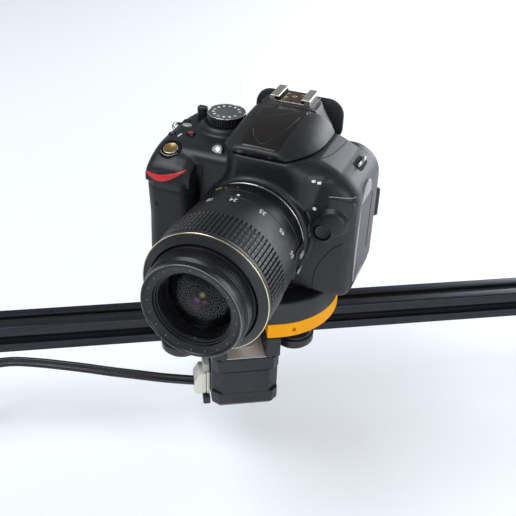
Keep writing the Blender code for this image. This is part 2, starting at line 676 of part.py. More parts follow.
def make_back(camera):
    """Rear shell with the viewfinder housing above the screen."""
    mat = plastic("body_black")

    def back_section(inset):
        return round_rectangle(BODY_LEFT + inset, BODY_RIGHT - inset, GAP + inset, BODY_TOP - inset, 7 * MM, 3)

    back = place("camera_back", loft([
        (BODY_SPLIT + GAP, back_section(0)), (BODY_BACK - 3 * MM, back_section(0)),
        (BODY_BACK, back_section(2.5 * MM))], "y"), mat, camera)

    def finder(scale, top):
        return [(-26 * MM * scale, 66 * MM), (26 * MM * scale, 66 * MM), (26 * MM * scale, 84 * MM),
                (17.5 * MM * scale, top), (-17.5 * MM * scale, top), (-26 * MM * scale, 84 * MM)]

    housing = cutter("finder_shape", loft([(BODY_SPLIT + GAP, finder(1, HUMP_TOP)),
                                           (BODY_BACK, finder(1, HUMP_TOP)),
                                           (43 * MM, finder(0.84, HUMP_TOP - 1 * MM))], "y"), camera)
    combine(back, [housing], "UNION")
    x, y, z = COMMAND
    room = COMMAND_RADIUS + 0.7 * MM
    thumb = cutter("command_dial_pocket", box(x - room, x + room, BODY_SPLIT, BODY_BACK + 5 * MM,
                                              z - 2.8 * MM, z + 2.8 * MM), camera)
    combine(back, [thumb])


def make_flash(camera):
    """Pop-up head: wedge over the hump, hinged along its upper rear edge."""
    y0, z0 = FLASH_AXIS

    def section(y, half, skirt, low, top):
        left = max(-skirt, HUMP_LEFT)
        return (y - y0, [(left, low - z0), (skirt, low - z0), (skirt, low + 2 * MM - z0), (half, top - z0),
                         (-half, top - z0), (left, low + 2 * MM - z0)])

    stations = [(-28, 13.5, 16.5, 90), (-14, 14.8, 26.6, 94.2), (2, 16.4, 30.7, 96.7), (22, 17.5, 30.7, 97.6)]
    bm = loft([section(y * MM, half * MM, skirt * MM, 86.4 * MM, top * MM) for y, half, skirt, top in stations],
              "y")
    place("flash_head", bm, plastic("flash_black", roughness=0.25), camera, (0, y0, z0))


def make_hot_shoe(camera):
    """Accessory shoe: a plate with two rails turned over its long sides."""
    outline = [(-12.8, 0), (12.8, 0), (12.8, 3.9), (7.0, 3.9), (7.0, 2.9), (9.4, 2.9), (9.4, 1.0),
               (-9.4, 1.0), (-9.4, 2.9), (-7.0, 2.9), (-7.0, 3.9), (-12.8, 3.9)]
    low = HUMP_TOP + GAP
    bm = prism([(x * MM, low + z * MM) for x, z in outline], 25 * MM, 42.5 * MM, "y")
    place("hot_shoe", bm, metal("shoe_steel", (0.7, 0.69, 0.66), 0.3), camera)


def make_controls(camera):
    black = plastic("control_black", roughness=0.4)
    place("mode_dial", turned(drum(DIAL_RADIUS, BODY_TOP + GAP, DIAL_TOP, 0.8 * MM), 28), black, camera,
          (*DIAL, 0), smooth=True)
    x, y, z = SHUTTER
    place("power_lever", turned(ring(5.1 * MM, 6.6 * MM, -2.6 * MM, 1.4 * MM, 0.3 * MM), 20), black, camera,
          (x, y, z), smooth=True)
    place("shutter_button", turned(drum(4.7 * MM, -2 * MM, 2.2 * MM, 0.8 * MM), 20),
          metal("button_champagne", (0.42, 0.33, 0.22), 0.35), camera, (x, y, z), smooth=True)
    place("record_button", turned(drum(2.7 * MM, -1 * MM, 1.4 * MM, 0.4 * MM), 14),
          plastic("record_red", (0.55, 0.03, 0.03), 0.35), camera, RECORD, smooth=True)
    place("lens_release", turned(drum(5.0 * MM, -8 * MM, 3.2 * MM, 0.8 * MM), 18), black, camera,
          RELEASE, (pi / 2, 0, 0), smooth=True)
    place("command_dial", turned(drum(COMMAND_RADIUS, -2.4 * MM, 2.4 * MM, 0.5 * MM), 20), black, camera,
          COMMAND, smooth=True)


def lens_turned(name, profile, mat, camera, y=0.0, steps=36):
    """Turned about the lens axis; profile heights count forwards from the flange."""
    return place(name, turned(profile, steps), mat, camera, (0, y, LENS_Z), (pi / 2, 0, 0), smooth=True)


def make_lens(camera):
    """Flange distance runs forwards.  The inner tube slides when the zoom ring turns."""
    black = plastic("lens_black", (0.028, 0.029, 0.031), 0.4)
    r = BARREL_RADIUS
    lens_turned("lens_mount", ring(24 * MM, 31 * MM, 0.2 * MM, 3 * MM, 0.4 * MM),
                metal("mount_steel", (0.6, 0.6, 0.6), 0.3), camera, FLANGE_Y)
    barrel = [(24, 3.3), (32, 3.3), (34.6, 8), (34.6, 24), (32.5, 24), (32.5, 60), (30.6, 60), (30.6, 12), (24, 12)]
    lens_turned("lens_barrel", [(a * MM, b * MM) for a, b in barrel], black, camera, FLANGE_Y)
    grip = [(32.8, 24.3), (34.9, 24.3), (35.4, 32), (r / MM, 33), (r / MM, 68.2), (r / MM - 0.8, 69.1),
            (30.8, 69.1), (30.8, 60.4), (32.8, 60.4)]
    lens_turned("zoom_ring", [(a * MM, b * MM) for a, b in grip], plastic("lens_rubber", RUBBER, 0.6), camera,
                FLANGE_Y)
    tube = [(22, 24), (30.2, 24), (30.2, 73), (27.4, 73), (27.4, 79.5), (20, 79.5), (20, 66), (22, 66)]
    lens_turned("inner_tube", [(a * MM, b * MM) for a, b in tube], black, camera, FLANGE_Y)
    front = FLANGE_Y - LENS_FRONT
    lens_turned("focus_ring", [(27.7 * MM, 73.3 * MM), (29.8 * MM, 73.3 * MM), (29.8 * MM, front - 6 * MM),
                               (28.4 * MM, front - 5.2 * MM), (28.4 * MM, front), (26 * MM, front),
                               (20.3 * MM, front - 5.5 * MM), (20.3 * MM, front - 6.5 * MM),
                               (27.7 * MM, front - 6.5 * MM)], black, camera, FLANGE_Y)
    glass = [(0, 60), (19.6, 60), (19.6, 74), (14, 77), (7, 78.6), (0, 79)]
    lens_turned("front_glass", [(a * MM, b * MM) for a, b in glass], material("glass", (0.02, 0.02, 0.03), 0.05),
                camera, FLANGE_Y, 24)


def make_screen(camera):
    """Vari-angle screen: a hinge arm swings on the right edge, the panel turns on the arm."""
    black = plastic("body_black")
    hinge = (LCD_X, LCD_Y, LCD_Z)
    arm = place("screen_arm", turned(drum(3 * MM, -9 * MM, 9 * MM, 0.3 * MM), 20), black, camera, hinge,
                smooth=True)
    pin = cutter("screen_arm_pin", turned(drum(1.8 * MM, 2 * MM, 9 * MM), 16), camera, hinge, (0, -pi / 2, 0))
    combine(arm, [pin], "UNION")
    outline = round_rectangle(-80 * MM, -3.6 * MM, -27 * MM, 27 * MM, 3 * MM)
    panel = place("screen_panel", prism(outline, -3.2 * MM, 3.2 * MM, "y"), black, camera,
                  (LCD_X, LCD_Y, LCD_Z))
    hole = cutter("screen_panel_socket", turned(drum(2.2 * MM, 1 * MM, 10 * MM), 16), camera, hinge,
                  (0, -pi / 2, 0))
    combine(panel, [hole])


def make_eyecup(camera):
    outer = round_rectangle(-28.9 * MM, 28.9 * MM, 68.4 * MM, 96.5 * MM, 10 * MM)
    inner = round_rectangle(-13 * MM, 13 * MM, 76 * MM, 90 * MM, 5 * MM)
    cup = place("eyecup", prism(outer, 43 * MM + GAP, 48 * MM, "y"), material("rubber", RUBBER, 0.8),
                camera)
    combine(cup, [cutter("eyecup_window", prism(inner, 45 * MM, 52 * MM, "y"), camera)])


# ---- assembly -----------------------------------------------------------------------
def main():
    clear_scene()
    slider = frame("slider", None, (0, RAIL_Y, RAIL_Z))
    head = frame("head", slider, (0, PAN_Y, 0), PAN_ANGLE)
    camera = frame("camera", head, (0, 0, DISC_TOP))

    make_rail(slider)
    for side, name in ((-1, "left"), (1, "right")):
        make_bracket(side, name, slider)
        make_leg(side, name, slider)
    make_belt(slider)
    make_pulley("drive_pulley", -PULLEY_X, slider)
    make_pulley("idler_pulley", PULLEY_X, slider)
    make_slide_drive(slider)
    make_control_box(slider)

    make_carriage_plate(slider)
    for end, x in WHEEL_X.items():
        for side, y in (("front", -WHEEL_Y), ("back", WHEEL_Y)):
            make_axle(f"axle_{side}_{end}", x, y, slider)
            make_wheel(f"wheel_{side}_{end}", x, y, slider)
    make_belt_clamp(slider)
    make_motor("pan_motor", slider, (MOTOR_X, MOTOR_Y, MOTOR_TOP), (0, 0, 0))
    make_motor_bracket(slider)
    make_base(slider)
    make_base_spacer(slider)
    make_bearing(slider)
    make_pinion(slider)
    make_connector(slider)
    make_cable(slider)

    make_disc(head)
    make_gear(head)
    make_pad(head)
    make_camera_screw(head)

    make_body(camera)
    make_back(camera)
    make_flash(camera)
    make_hot_shoe(camera)
    make_controls(camera)
    make_lens(camera)
    make_screen(camera)
    make_eyecup(camera)


main()
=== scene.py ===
"""Visual model of the motorised camera slider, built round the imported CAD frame."""
import json
from math import asin, cos, pi, radians, sin, sqrt

import bmesh
import bpy
from mathutils import Matrix, Vector
from mathutils.bvhtree import BVHTree


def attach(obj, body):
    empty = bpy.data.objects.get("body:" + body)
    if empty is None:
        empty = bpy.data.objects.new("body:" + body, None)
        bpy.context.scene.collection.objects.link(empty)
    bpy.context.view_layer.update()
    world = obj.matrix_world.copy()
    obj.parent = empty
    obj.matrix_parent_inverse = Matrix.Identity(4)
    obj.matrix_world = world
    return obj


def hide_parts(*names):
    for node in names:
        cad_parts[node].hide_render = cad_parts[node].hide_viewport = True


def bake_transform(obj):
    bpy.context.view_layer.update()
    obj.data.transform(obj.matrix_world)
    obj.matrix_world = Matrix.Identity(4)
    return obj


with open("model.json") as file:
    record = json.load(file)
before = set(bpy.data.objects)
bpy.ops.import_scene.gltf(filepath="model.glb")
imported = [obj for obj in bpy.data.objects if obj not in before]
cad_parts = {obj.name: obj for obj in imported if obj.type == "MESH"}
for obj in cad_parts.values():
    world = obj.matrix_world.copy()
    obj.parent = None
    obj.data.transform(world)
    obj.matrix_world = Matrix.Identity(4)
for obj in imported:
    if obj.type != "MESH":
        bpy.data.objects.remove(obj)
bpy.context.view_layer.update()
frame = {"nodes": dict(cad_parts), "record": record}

MM = 0.001
TAU = 2 * pi
SLOT = {part["node"]: part["material_slot"] for part in frame["record"]["subparts"]}


def turned_by(angle, axis):
    return Matrix.Rotation(radians(angle), 4, axis)


def axes_at(point, x, y, z):
    """Matrix that takes the three axes to the directions x, y and z, at a point."""
    return Matrix.Translation(point) @ Matrix((x, y, z)).transposed().to_4x4()


def frame_at(x, y, z, parent=Matrix.Identity(4), turn=0.0, axis="Z"):
    """Frame in metres, placed in millimetres and turned in degrees inside another."""
    return parent @ Matrix.Translation((x * MM, y * MM, z * MM)) @ turned_by(turn, axis)


# ---- frames and shared sizes (millimetres) ----------------------------------------------


SLIDER = frame_at(0, 31.33, 75)
HEAD = frame_at(0, -6.7, 0, SLIDER, -30)              # everything that pans
CAMERA = frame_at(0, 0, 48.5, HEAD)
LENS = frame_at(0, -31, 40, CAMERA, 90, "X")          # x right, y up, z forward
PAN_Y, DISC_RADIUS = -6.7, 46.4        # panning axis across the rail, radius of the base and its disc
MOTOR_HALF, MOTOR_TOP = 21.15, 6.9
MOTOR_X, MOTOR_Y = -19.7, PAN_Y - sqrt(32.5 ** 2 - 19.7 ** 2)      # 32.5 from the panning axis
PULLEY_X, LEG_X = 313, 286.2           # belt pulleys and legs, from the middle of the rail
GRIP_AXIS = (-53.5, -20)               # upright axis inside the camera's hand grip
DECK_Z = 80                            # top of the camera body
MODE_DIAL_AT = (-36.5, 14.6)
SHUTTER_AT = (-56.5, -22, 76)
RECORD_AT = (-52, -4, DECK_Z)
RELEASE_AT = (41, -24, 47)
COMMAND_AT = (-52.5, 29.4, 74)
BARREL = 34.6                          # radius of the lens barrel at its mount end
BOX_X = -280.9                         # outer face of the control box
PAN_MOTOR = frame_at(MOTOR_X, MOTOR_Y, MOTOR_TOP, SLIDER)
SLIDE_MOTOR = frame_at(-PULLEY_X, 16.6, 0, SLIDER, 90, "X")
SKY = (0.93, 0.96, 1.0)                # the studio's slightly blue white


# ---- camera, light and floor --------------------------------------------------------
def shown(name, data):
    obj = bpy.data.objects.new(name, data)
    bpy.context.collection.objects.link(obj)
    return obj


def make_view():
    yaw, pitch, roll = radians(9.982), radians(33.719), radians(2.238)
    ahead = Vector((sin(yaw) * cos(pitch), cos(yaw) * cos(pitch), -sin(pitch)))
    right = Vector((cos(yaw), -sin(yaw), 0))
    up = right.cross(ahead)
    across = cos(roll) * right + sin(roll) * up
    upright = -sin(roll) * right + cos(roll) * up
    data = bpy.data.cameras.new("view")
    data.lens, data.sensor_width, data.clip_start, data.clip_end = 58.75, 36.0, 0.01, 60
    cam = shown("view", data)
    cam.matrix_world = axes_at((-0.08463, -0.41738, 0.42505), across, upright, -ahead)
    bpy.context.scene.camera = cam


def area_light(name, place, size, power, colour):
    data = bpy.data.lights.new(name, "AREA")
    data.shape, data.size, data.size_y = "RECTANGLE", size[0], size[1]
    data.energy, data.color = power, colour
    obj = shown(name, data)
    obj.location = place
    obj.rotation_euler = (Vector((0, 0, 0.12)) - obj.location).to_track_quat("-Z", "Y").to_euler()


def make_light():
    world = bpy.data.worlds.new("studio")
    bpy.context.scene.world = world
    world.use_nodes = True
    back = world.node_tree.nodes["Background"]
    back.inputs["Color"].default_value = (*SKY, 1)
    back.inputs["Strength"].default_value = 0.3
    area_light("key", (-0.7, -0.1, 1.3), (0.9, 0.7), 11, SKY)
    area_light("rim", (1.05, 0.75, 0.5), (1.1, 0.8), 14, (0.9, 0.95, 1))
    area_light("front", (0.3, -1.3, 0.5), (1.2, 0.5), 6.5, (0.95, 0.97, 1))
    bpy.context.scene.view_settings.view_transform = "Standard"


def make_floor():
    """White sheet that glows a little, so that its far end stays as bright as in the photo."""
    mesh = bpy.data.meshes.new("floor")
    mesh.from_pydata([(-6, -4, 0), (6, -4, 0), (6, 14, 0), (-6, 14, 0)], [], [(0, 1, 2, 3)])
    mesh.materials.append(finish("floor_white", (0.84, 0.86, 0.9), 0.6, 0, 0.01, 0.05, 40, 0.0, patches=2))
    glow = mesh.materials[0].node_tree.nodes["Principled BSDF"].inputs
    glow["Emission Color"].default_value = (*SKY, 1)
    glow["Emission Strength"].default_value = 0.26
    shown("floor", mesh)


# ---- materials ----------------------------------------------------------------------
MAT = {}


def nodes_of(name):
    mat = MAT[name] = bpy.data.materials.new(name)
    mat.use_nodes = True
    tree = mat.node_tree
    shader = tree.nodes["Principled BSDF"]
    coord = tree.nodes.new("ShaderNodeTexCoord")
    return mat, tree, shader, coord.outputs["Object"]


def scaled(tree, source, scale):
    mapping = tree.nodes.new("ShaderNodeMapping")
    mapping.inputs["Scale"].default_value = scale
    tree.links.new(source, mapping.inputs["Vector"])
    return mapping.outputs["Vector"]


def vector_math(tree, operation, source, second):
    node = tree.nodes.new("ShaderNodeVectorMath")
    node.operation = operation
    node.inputs["Scale" if operation == "SCALE" else 1].default_value = second
    tree.links.new(source, node.inputs[0])
    return node


def noise(tree, vector, scale, detail):
    node = tree.nodes.new("ShaderNodeTexNoise")
    node.inputs["Scale"].default_value = scale
    node.inputs["Detail"].default_value = detail
    tree.links.new(vector, node.inputs["Vector"])
    return node.outputs["Fac"]


def remap(tree, source, low, high, start=0.3, stop=0.7):
    node = tree.nodes.new("ShaderNodeMapRange")
    for key, value in (("From Min", start), ("From Max", stop), ("To Min", low), ("To Max", high)):
        node.inputs[key].default_value = value
    tree.links.new(source, node.inputs["Value"])
    return node.outputs["Result"]


def tint(tree, factor, dark, light):
    node = tree.nodes.new("ShaderNodeMix")
    node.data_type = "RGBA"
    node.inputs["A"].default_value = (*dark, 1)
    node.inputs["B"].default_value = (*light, 1)
    tree.links.new(factor, node.inputs["Factor"])
    return node.outputs["Result"]


def bump(tree, height, distance, normal=None):
    node = tree.nodes.new("ShaderNodeBump")
    node.inputs["Strength"].default_value = 1.0
    node.inputs["Distance"].default_value = distance
    tree.links.new(height, node.inputs["Height"])
    if normal:
        tree.links.new(normal, node.inputs["Normal"])
    return node.outputs["Normal"]


def finish(name, colour, rough, metallic=0.0, vary=0.25, spread=0.08, grain=900, grain_depth=0.05,
           stretch=(1, 1, 1), lines=None, coat=0.0, patches=60, pebble=None, specular=0.5):
    """Procedural surface: colour patches, fine grain, optional running lines or pebbled grain."""
    mat, tree, shader, coord = nodes_of(name)
    dark = tuple(c * (1 - vary) for c in colour)
    light = tuple(min(1.0, c * (1 + vary)) for c in colour)
    stretched = scaled(tree, coord, stretch)
    broad = noise(tree, coord, patches, 4)
    fine = noise(tree, stretched, grain, 2)
    tree.links.new(tint(tree, remap(tree, broad, 0, 1), dark, light), shader.inputs["Base Color"])
    tree.links.new(remap(tree, fine, max(0.02, rough - spread), rough + spread), shader.inputs["Roughness"])
    normal = bump(tree, fine, grain_depth * MM)
    if pebble:
        cell = tree.nodes.new("ShaderNodeTexVoronoi")
        cell.feature = "SMOOTH_F1"
        cell.inputs["Scale"].default_value = pebble[0]
        tree.links.new(stretched, cell.inputs["Vector"])
        normal = bump(tree, cell.outputs["Distance"], -pebble[1] * MM, normal)
    if lines:
        axis, pitch, depth = lines
        wave = tree.nodes.new("ShaderNodeTexWave")
        wave.wave_type, wave.bands_direction, wave.wave_profile = "BANDS", axis, "SIN"
        wave.inputs["Scale"].default_value = TAU / (20 * pitch * MM)
        wave.inputs["Distortion"].default_value = 0.4
        tree.links.new(coord, wave.inputs["Vector"])
        normal = bump(tree, wave.outputs["Fac"], depth * MM, normal)
    tree.links.new(normal, shader.inputs["Normal"])
    shader.inputs["Metallic"].default_value = metallic
    shader.inputs["Specular IOR Level"].default_value = specular
    shader.inputs["Coat Weight"].default_value = coat
    shader.inputs["Coat Roughness"].default_value = 0.08
    mat.diffuse_color = (*colour, 1)
    return mat


def make_glass_with_painted_glints(name, colour, spots):
    """Dark coated glass with painted glints: soft tinted spots in the base colour stand in for coloured reflections;
    each spot is (point of the lens in mm, reach in metres, colour).
    """
    _, tree, shader, coord = nodes_of(name)
    base = tint(tree, remap(tree, noise(tree, coord, 90, 2), 0, 1), tuple(c * 0.8 for c in colour), colour)
    # Each glow colour is a painted glint, a coloured reflection drawn into the base colour.
    for spot, reach, glow in spots:
        point = tuple(LENS.to_3x3() @ (Vector(spot) * MM))
        ripple = tree.nodes.new("ShaderNodeTexNoise")
        ripple.inputs["Scale"].default_value = 150
        tree.links.new(coord, ripple.inputs["Vector"])
        small = vector_math(tree, "SCALE", ripple.outputs["Color"], reach * 0.6)
        warp = vector_math(tree, "MULTIPLY_ADD", coord, (1, 1, 1))
        tree.links.new(small.outputs["Vector"], warp.inputs[2])
        away = vector_math(tree, "DISTANCE", warp.outputs["Vector"], point)
        mix = tree.nodes.new("ShaderNodeMix")
        mix.data_type = "RGBA"
        mix.inputs["B"].default_value = (*glow, 1)
        tree.links.new(base, mix.inputs["A"])
        tree.links.new(remap(tree, away.outputs["Value"], 1, 0, reach * 0.35, reach), mix.inputs["Factor"])
        base = mix.outputs["Result"]
    tree.links.new(base, shader.inputs["Base Color"])
    shader.inputs["Roughness"].default_value = 0.05
    shader.inputs["Specular IOR Level"].default_value = 0.12


def make_clear(name):
    _, tree, shader, coord = nodes_of(name)
    shader.inputs["Roughness"].default_value = 0.0
    tree.links.new(tint(tree, noise(tree, coord, 60, 1), (0.93, 0.95, 1.0), (1.0, 0.97, 1.0)),
                   shader.inputs["Base Color"])
    shader.inputs["Transmission Weight"].default_value = 1.0
    shader.inputs["IOR"].default_value = 1.16


def make_materials():
    finish("dark_anodised", (0.022, 0.023, 0.032), 0.36, 0.55, 0.18, 0.1, 500, 0.012, (0.02, 1, 1), patches=90)
    finish("black_printed", (0.014, 0.0145, 0.0165), 0.52, 0, 0.2, 0.08, 1600, 0.03, lines=("Z", 0.24, 0.035))
    finish("rubber", (0.017, 0.017, 0.018), 0.75, 0, 0.3, 0.1, 1500, 0.06, specular=0.35)
    finish("motor_bell", (0.90, 0.88, 0.85), 0.5, 0.2, 0.06, 0.1, 900, 0.012, (1, 1, 0.08))
    finish("motor_stack", (0.018, 0.019, 0.025), 0.34, 0.3, 0.25, 0.1, 1200, 0.012, lines=("Z", 0.5, 0.03))
    finish("motor_rear", (0.014, 0.015, 0.019), 0.36, 0.2, 0.25, 0.1, 1100, 0.03)
    finish("belt_rubber", (0.018, 0.018, 0.02), 0.7, 0, 0.2, 0.1, 1500, 0.03, lines=("X", 2.0, 0.35))
    finish("pulley_aluminium", (0.62, 0.62, 0.64), 0.3, 1.0, 0.1, 0.1, 1500, 0.01, (1, 1, 0.1))
    finish("black_anodised", (0.03, 0.031, 0.036), 0.36, 0.5, 0.2, 0.1, 1200, 0.012)
    finish("steel", (0.55, 0.55, 0.56), 0.27, 1.0, 0.15, 0.12, 1600, 0.01)
    finish("black_steel", (0.05, 0.05, 0.055), 0.35, 0.9, 0.2, 0.12, 1600, 0.01)
    finish("wheel_polymer", (0.014, 0.015, 0.019), 0.34, 0, 0.2, 0.08, 1300, 0.015)
    finish("orange_plate", (0.97, 0.40, 0.004), 0.45, 0, 0.03, 0.08, 1400, 0.02, lines=("Z", 0.22, 0.012),
           specular=0.12)
    finish("disc_black", (0.012, 0.0125, 0.0145), 0.42, 0, 0.25, 0.08, 1200, 0.04, lines=("Z", 0.24, 0.025))
    finish("gear_polymer", (0.07, 0.07, 0.075), 0.4, 0, 0.15, 0.08, 1300, 0.02)
    finish("connector_white", (0.78, 0.76, 0.66), 0.42, 0, 0.06, 0.08, 900, 0.02)
    finish("cable_black", (0.012, 0.0125, 0.015), 0.32, 0, 0.2, 0.08, 900, 0.02)
    finish("body_black", (0.0082, 0.0086, 0.0118), 0.42, 0, 0.2, 0.07, 3000, 0.02, pebble=(1700, 0.03))
    finish("grip_rubber", (0.009, 0.0093, 0.011), 0.5, 0, 0.2, 0.08, 2500, 0.03, pebble=(900, 0.09), specular=0.4)
    finish("flash_black", (0.011, 0.008, 0.008), 0.2, 0, 0.25, 0.05, 2200, 0.006, coat=0.1, specular=0.35)
    finish("panel_gloss", (0.02, 0.02, 0.023), 0.3, 0, 0.2, 0.06, 2500, 0.008)
    finish("shoe_steel", (0.72, 0.69, 0.61), 0.26, 1.0, 0.1, 0.1, 900, 0.01, (1, 0.06, 1))
    finish("shoe_dark", (0.10, 0.075, 0.035), 0.3, 0.7, 0.3, 0.1, 1200, 0.01)
    finish("control_black", (0.01, 0.0105, 0.012), 0.34, 0, 0.2, 0.08, 2200, 0.012)
    finish("dial_top", (0.16, 0.165, 0.16), 0.34, 0.6, 0.3, 0.06, 1600, 0.006)
    finish("button_champagne", (0.38, 0.25, 0.10), 0.3, 0.9, 0.12, 0.08, 1500, 0.006)
    finish("ring_champagne", (0.75, 0.66, 0.48), 0.22, 1.0, 0.1, 0.08, 1500, 0.006)
    finish("record_red", (0.5, 0.02, 0.02), 0.28, 0, 0.1, 0.06, 1500, 0.006, coat=0.4)
    finish("accent_red", (0.62, 0.02, 0.028), 0.35, 0, 0.1, 0.06, 1600, 0.012, coat=0.2)
    finish("mark_white", (0.82, 0.82, 0.8), 0.5, 0, 0.05, 0.05, 1500, 0.004)
    finish("mark_gold", (0.62, 0.47, 0.2), 0.35, 0.7, 0.1, 0.05, 1500, 0.004)
    finish("mark_grey", (0.30, 0.31, 0.32), 0.4, 0.2, 0.1, 0.05, 1500, 0.004)
    finish("lens_black", (0.0075, 0.0078, 0.0095), 0.33, 0, 0.2, 0.07, 2600, 0.012, specular=0.38)
    finish("lens_rubber", (0.009, 0.0093, 0.011), 0.4, 0, 0.25, 0.08, 2400, 0.02)
    finish("baffle", (0.008, 0.008, 0.009), 0.6, 0, 0.3, 0.1, 1800, 0.03, specular=0.3)
    finish("mount_steel", (0.58, 0.58, 0.58), 0.25, 1.0, 0.1, 0.1, 900, 0.01)
    finish("bright_edge", (0.62, 0.63, 0.64), 0.2, 1.0, 0.1, 0.06, 900, 0.004)
    finish("seam", (0.004, 0.004, 0.005), 0.7, 0, 0.2, 0.1, 900, 0.01, specular=0.2)
    finish("screen_black", (0.006, 0.006, 0.009), 0.1, 0, 0.2, 0.04, 700, 0.001, coat=1.0)
    make_clear("glass")
    # Inner lens groups: dark glass whose tinted spots are painted glints.
    make_glass_with_painted_glints("glass_violet_painted_glints", (0.004, 0.006, 0.007), [
        ((-1.5, -2.0, 75), 0.0062, (0.022, 0.01, 0.024)), ((2.4, 5.2, 75), 0.0021, (0.20, 0.22, 0.03)),
        ((-0.6, 1.2, 75), 0.0022, (0.15, 0.03, 0.17)), ((3.4, 0.6, 75), 0.0015, (0.17, 0.02, 0.07))])
    make_glass_with_painted_glints("glass_green_painted_glint", (0.004, 0.006, 0.006), [((0, 0, 64), 0.004, (0.03, 0.05, 0.01))])
    finish("lamp", (0.7, 0.71, 0.72), 0.12, 0.55, 0.12, 0.05, 700, 0.004, coat=0.8)
    finish("clip_grey", (0.42, 0.42, 0.41), 0.35, 0.3, 0.1, 0.08, 900, 0.01)
    finish("port_grey", (0.31, 0.31, 0.33), 0.45, 0, 0.08, 0.08, 1800, 0.02, pebble=(1500, 0.02))


# ---- mesh helpers (millimetres in each piece's own frame) ----------------------------
def circle(radius, count):
    return [(radius * cos(TAU * i / count), radius * sin(TAU * i / count)) for i in range(count)]


def arc(cx, cy, radius, start, end, count):
    return [(cx + radius * cos(start + (end - start) * i / count),
             cy + radius * sin(start + (end - start) * i / count)) for i in range(count + 1)]


def round_rectangle(x0, x1, y0, y1, radius, count=6):
    r = radius if isinstance(radius, (tuple, list)) else (radius,) * 4
    corners = [(x0 + r[0], y0 + r[0], pi), (x1 - r[1], y0 + r[1], 1.5 * pi),
               (x1 - r[2], y1 - r[2], 0.0), (x0 + r[3], y1 - r[3], 0.5 * pi)]
    points = []
    for (cx, cy, start), rad in zip(corners, r):
        points += arc(cx, cy, rad, start, start + pi / 2, count)
    return points


AXES = {"x": lambda a, b, t: (t, a, b), "y": lambda a, b, t: (a, t, b), "z": lambda a, b, t: (a, b, t)}


def stitched(bm, rings, caps=True):
    """Rings of vertices joined in turn, the first and last of them closed when caps are asked for."""
    for low, high in zip(rings, rings[1:]):
        for i in range(len(low)):
            j = (i + 1) % len(low)
            bm.faces.new((low[i], low[j], high[j], high[i]))
    if caps:
        bm.faces.new(rings[0][::-1])
        bm.faces.new(rings[-1])
    bmesh.ops.recalc_face_normals(bm, faces=bm.faces)
    return bm


def loft(sections, axis="z"):
    """Outlines at stations along an axis; every outline has the same number of points."""
    bm = bmesh.new()
    return stitched(bm, [[bm.verts.new(AXES[axis](a, b, t)) for a, b in outline] for t, outline in sections])


def prism(outline, low, high, axis="z"):
    return loft([(low, outline), (high, outline)], axis)


def box(x0, x1, y0, y1, z0, z1):
    return prism([(x0, y0), (x1, y0), (x1, y1), (x0, y1)], z0, z1)


def turned(profile, steps=96, shape=None):
    """Revolved (radius, height) points; shape(step, radius, height) may change a radius."""
    bm = bmesh.new()
    rings = []
    for radius, height in profile:
        if radius == 0:
            rings.append([bm.verts.new((0, 0, height))])
            continue
        ring = []
        for i in range(steps):
            angle = TAU * i / steps
            r = shape(i, radius, height) if shape else radius
            ring.append(bm.verts.new((r * cos(angle), r * sin(angle), height)))
        rings.append(ring)
    pairs = list(zip(rings, rings[1:]))
    if profile[0][0] != 0:
        pairs.append((rings[-1], rings[0]))
    for low, high in pairs:
        for i in range(steps):
            j = (i + 1) % steps
            corners = list(dict.fromkeys([low[i % len(low)], low[j % len(low)],
                                          high[j % len(high)], high[i % len(high)]]))
            if len(corners) > 2:
                bm.faces.new(corners)
    bmesh.ops.recalc_face_normals(bm, faces=bm.faces)
    return bm


def drum(radius, low, high):
    """Profile of a plain cylinder."""
    return [(0, low), (radius, low), (radius, high), (0, high)]


def hoop(inner, outer, low, high, edge):
    """Profile of a ring with its edges broken."""
    return [(inner, low), (outer - edge, low), (outer, low + edge), (outer, high - edge),
            (outer - edge, high), (inner + edge, high), (inner, high - edge)]


def moved(bm, matrix):
    """Same mesh, moved by a matrix whose translation is in millimetres."""
    bmesh.ops.transform(bm, matrix=matrix, verts=bm.verts)
    return bm


def boss(profile, steps, at, turn=0.0, axis="X", shape=None):
    """Turned shape, tipped by an angle about an axis and set down at a point."""
    return moved(turned(profile, steps, shape), Matrix.Translation(at) @ turned_by(turn, axis))


def joined(parts):
    """One mesh of all the parts, which are used up."""
    whole = bmesh.new()
    for part in parts:
        mesh = bpy.data.meshes.new("part")
        part.to_mesh(mesh)
        part.free()
        whole.from_mesh(mesh)
        bpy.data.meshes.remove(mesh)
    return whole


def sweep(path, outline_at):
    """Section outlines carried along a path; outline_at(i) lists (side, up) offsets, side x up = ahead."""
    bm = bmesh.new()
    points = [Vector(p) for p in path]
    ups = None
    rings = []
    for i, p in enumerate(points):
        ahead = (points[min(i + 1, len(points) - 1)] - points[max(i - 1, 0)]).normalized()
        if ups is None:
            ups = Vector((0, 0, 1)) if abs(ahead.z) < 0.9 else Vector((0, 1, 0))
        ups = (ups - ahead * ups.dot(ahead)).normalized()
        side = ahead.cross(ups)
        rings.append([bm.verts.new(p + side * a + ups * b) for a, b in outline_at(i)])
    return stitched(bm, rings)


def ribbon(path, width, height, tuck=0.4):
    """Strip on a surface, tuck deep in it: path lists (point, outward normal), width may be a function of 0 to 1."""
    bm = bmesh.new()
    rings = []
    for i, (p, n) in enumerate(path):
        ahead = (path[min(i + 1, len(path) - 1)][0] - path[max(i - 1, 0)][0]).normalized()
        side = ahead.cross(n).normalized()
        half = width(i / (len(path) - 1)) / 2 if callable(width) else width / 2
        rings.append([bm.verts.new(p + side * a + n * b) for a, b in
                      ((-half, -tuck), (half, -tuck), (half, height * 0.6), (half * 0.7, height),
                       (-half * 0.7, height), (-half, height * 0.6))])
    return stitched(bm, rings)


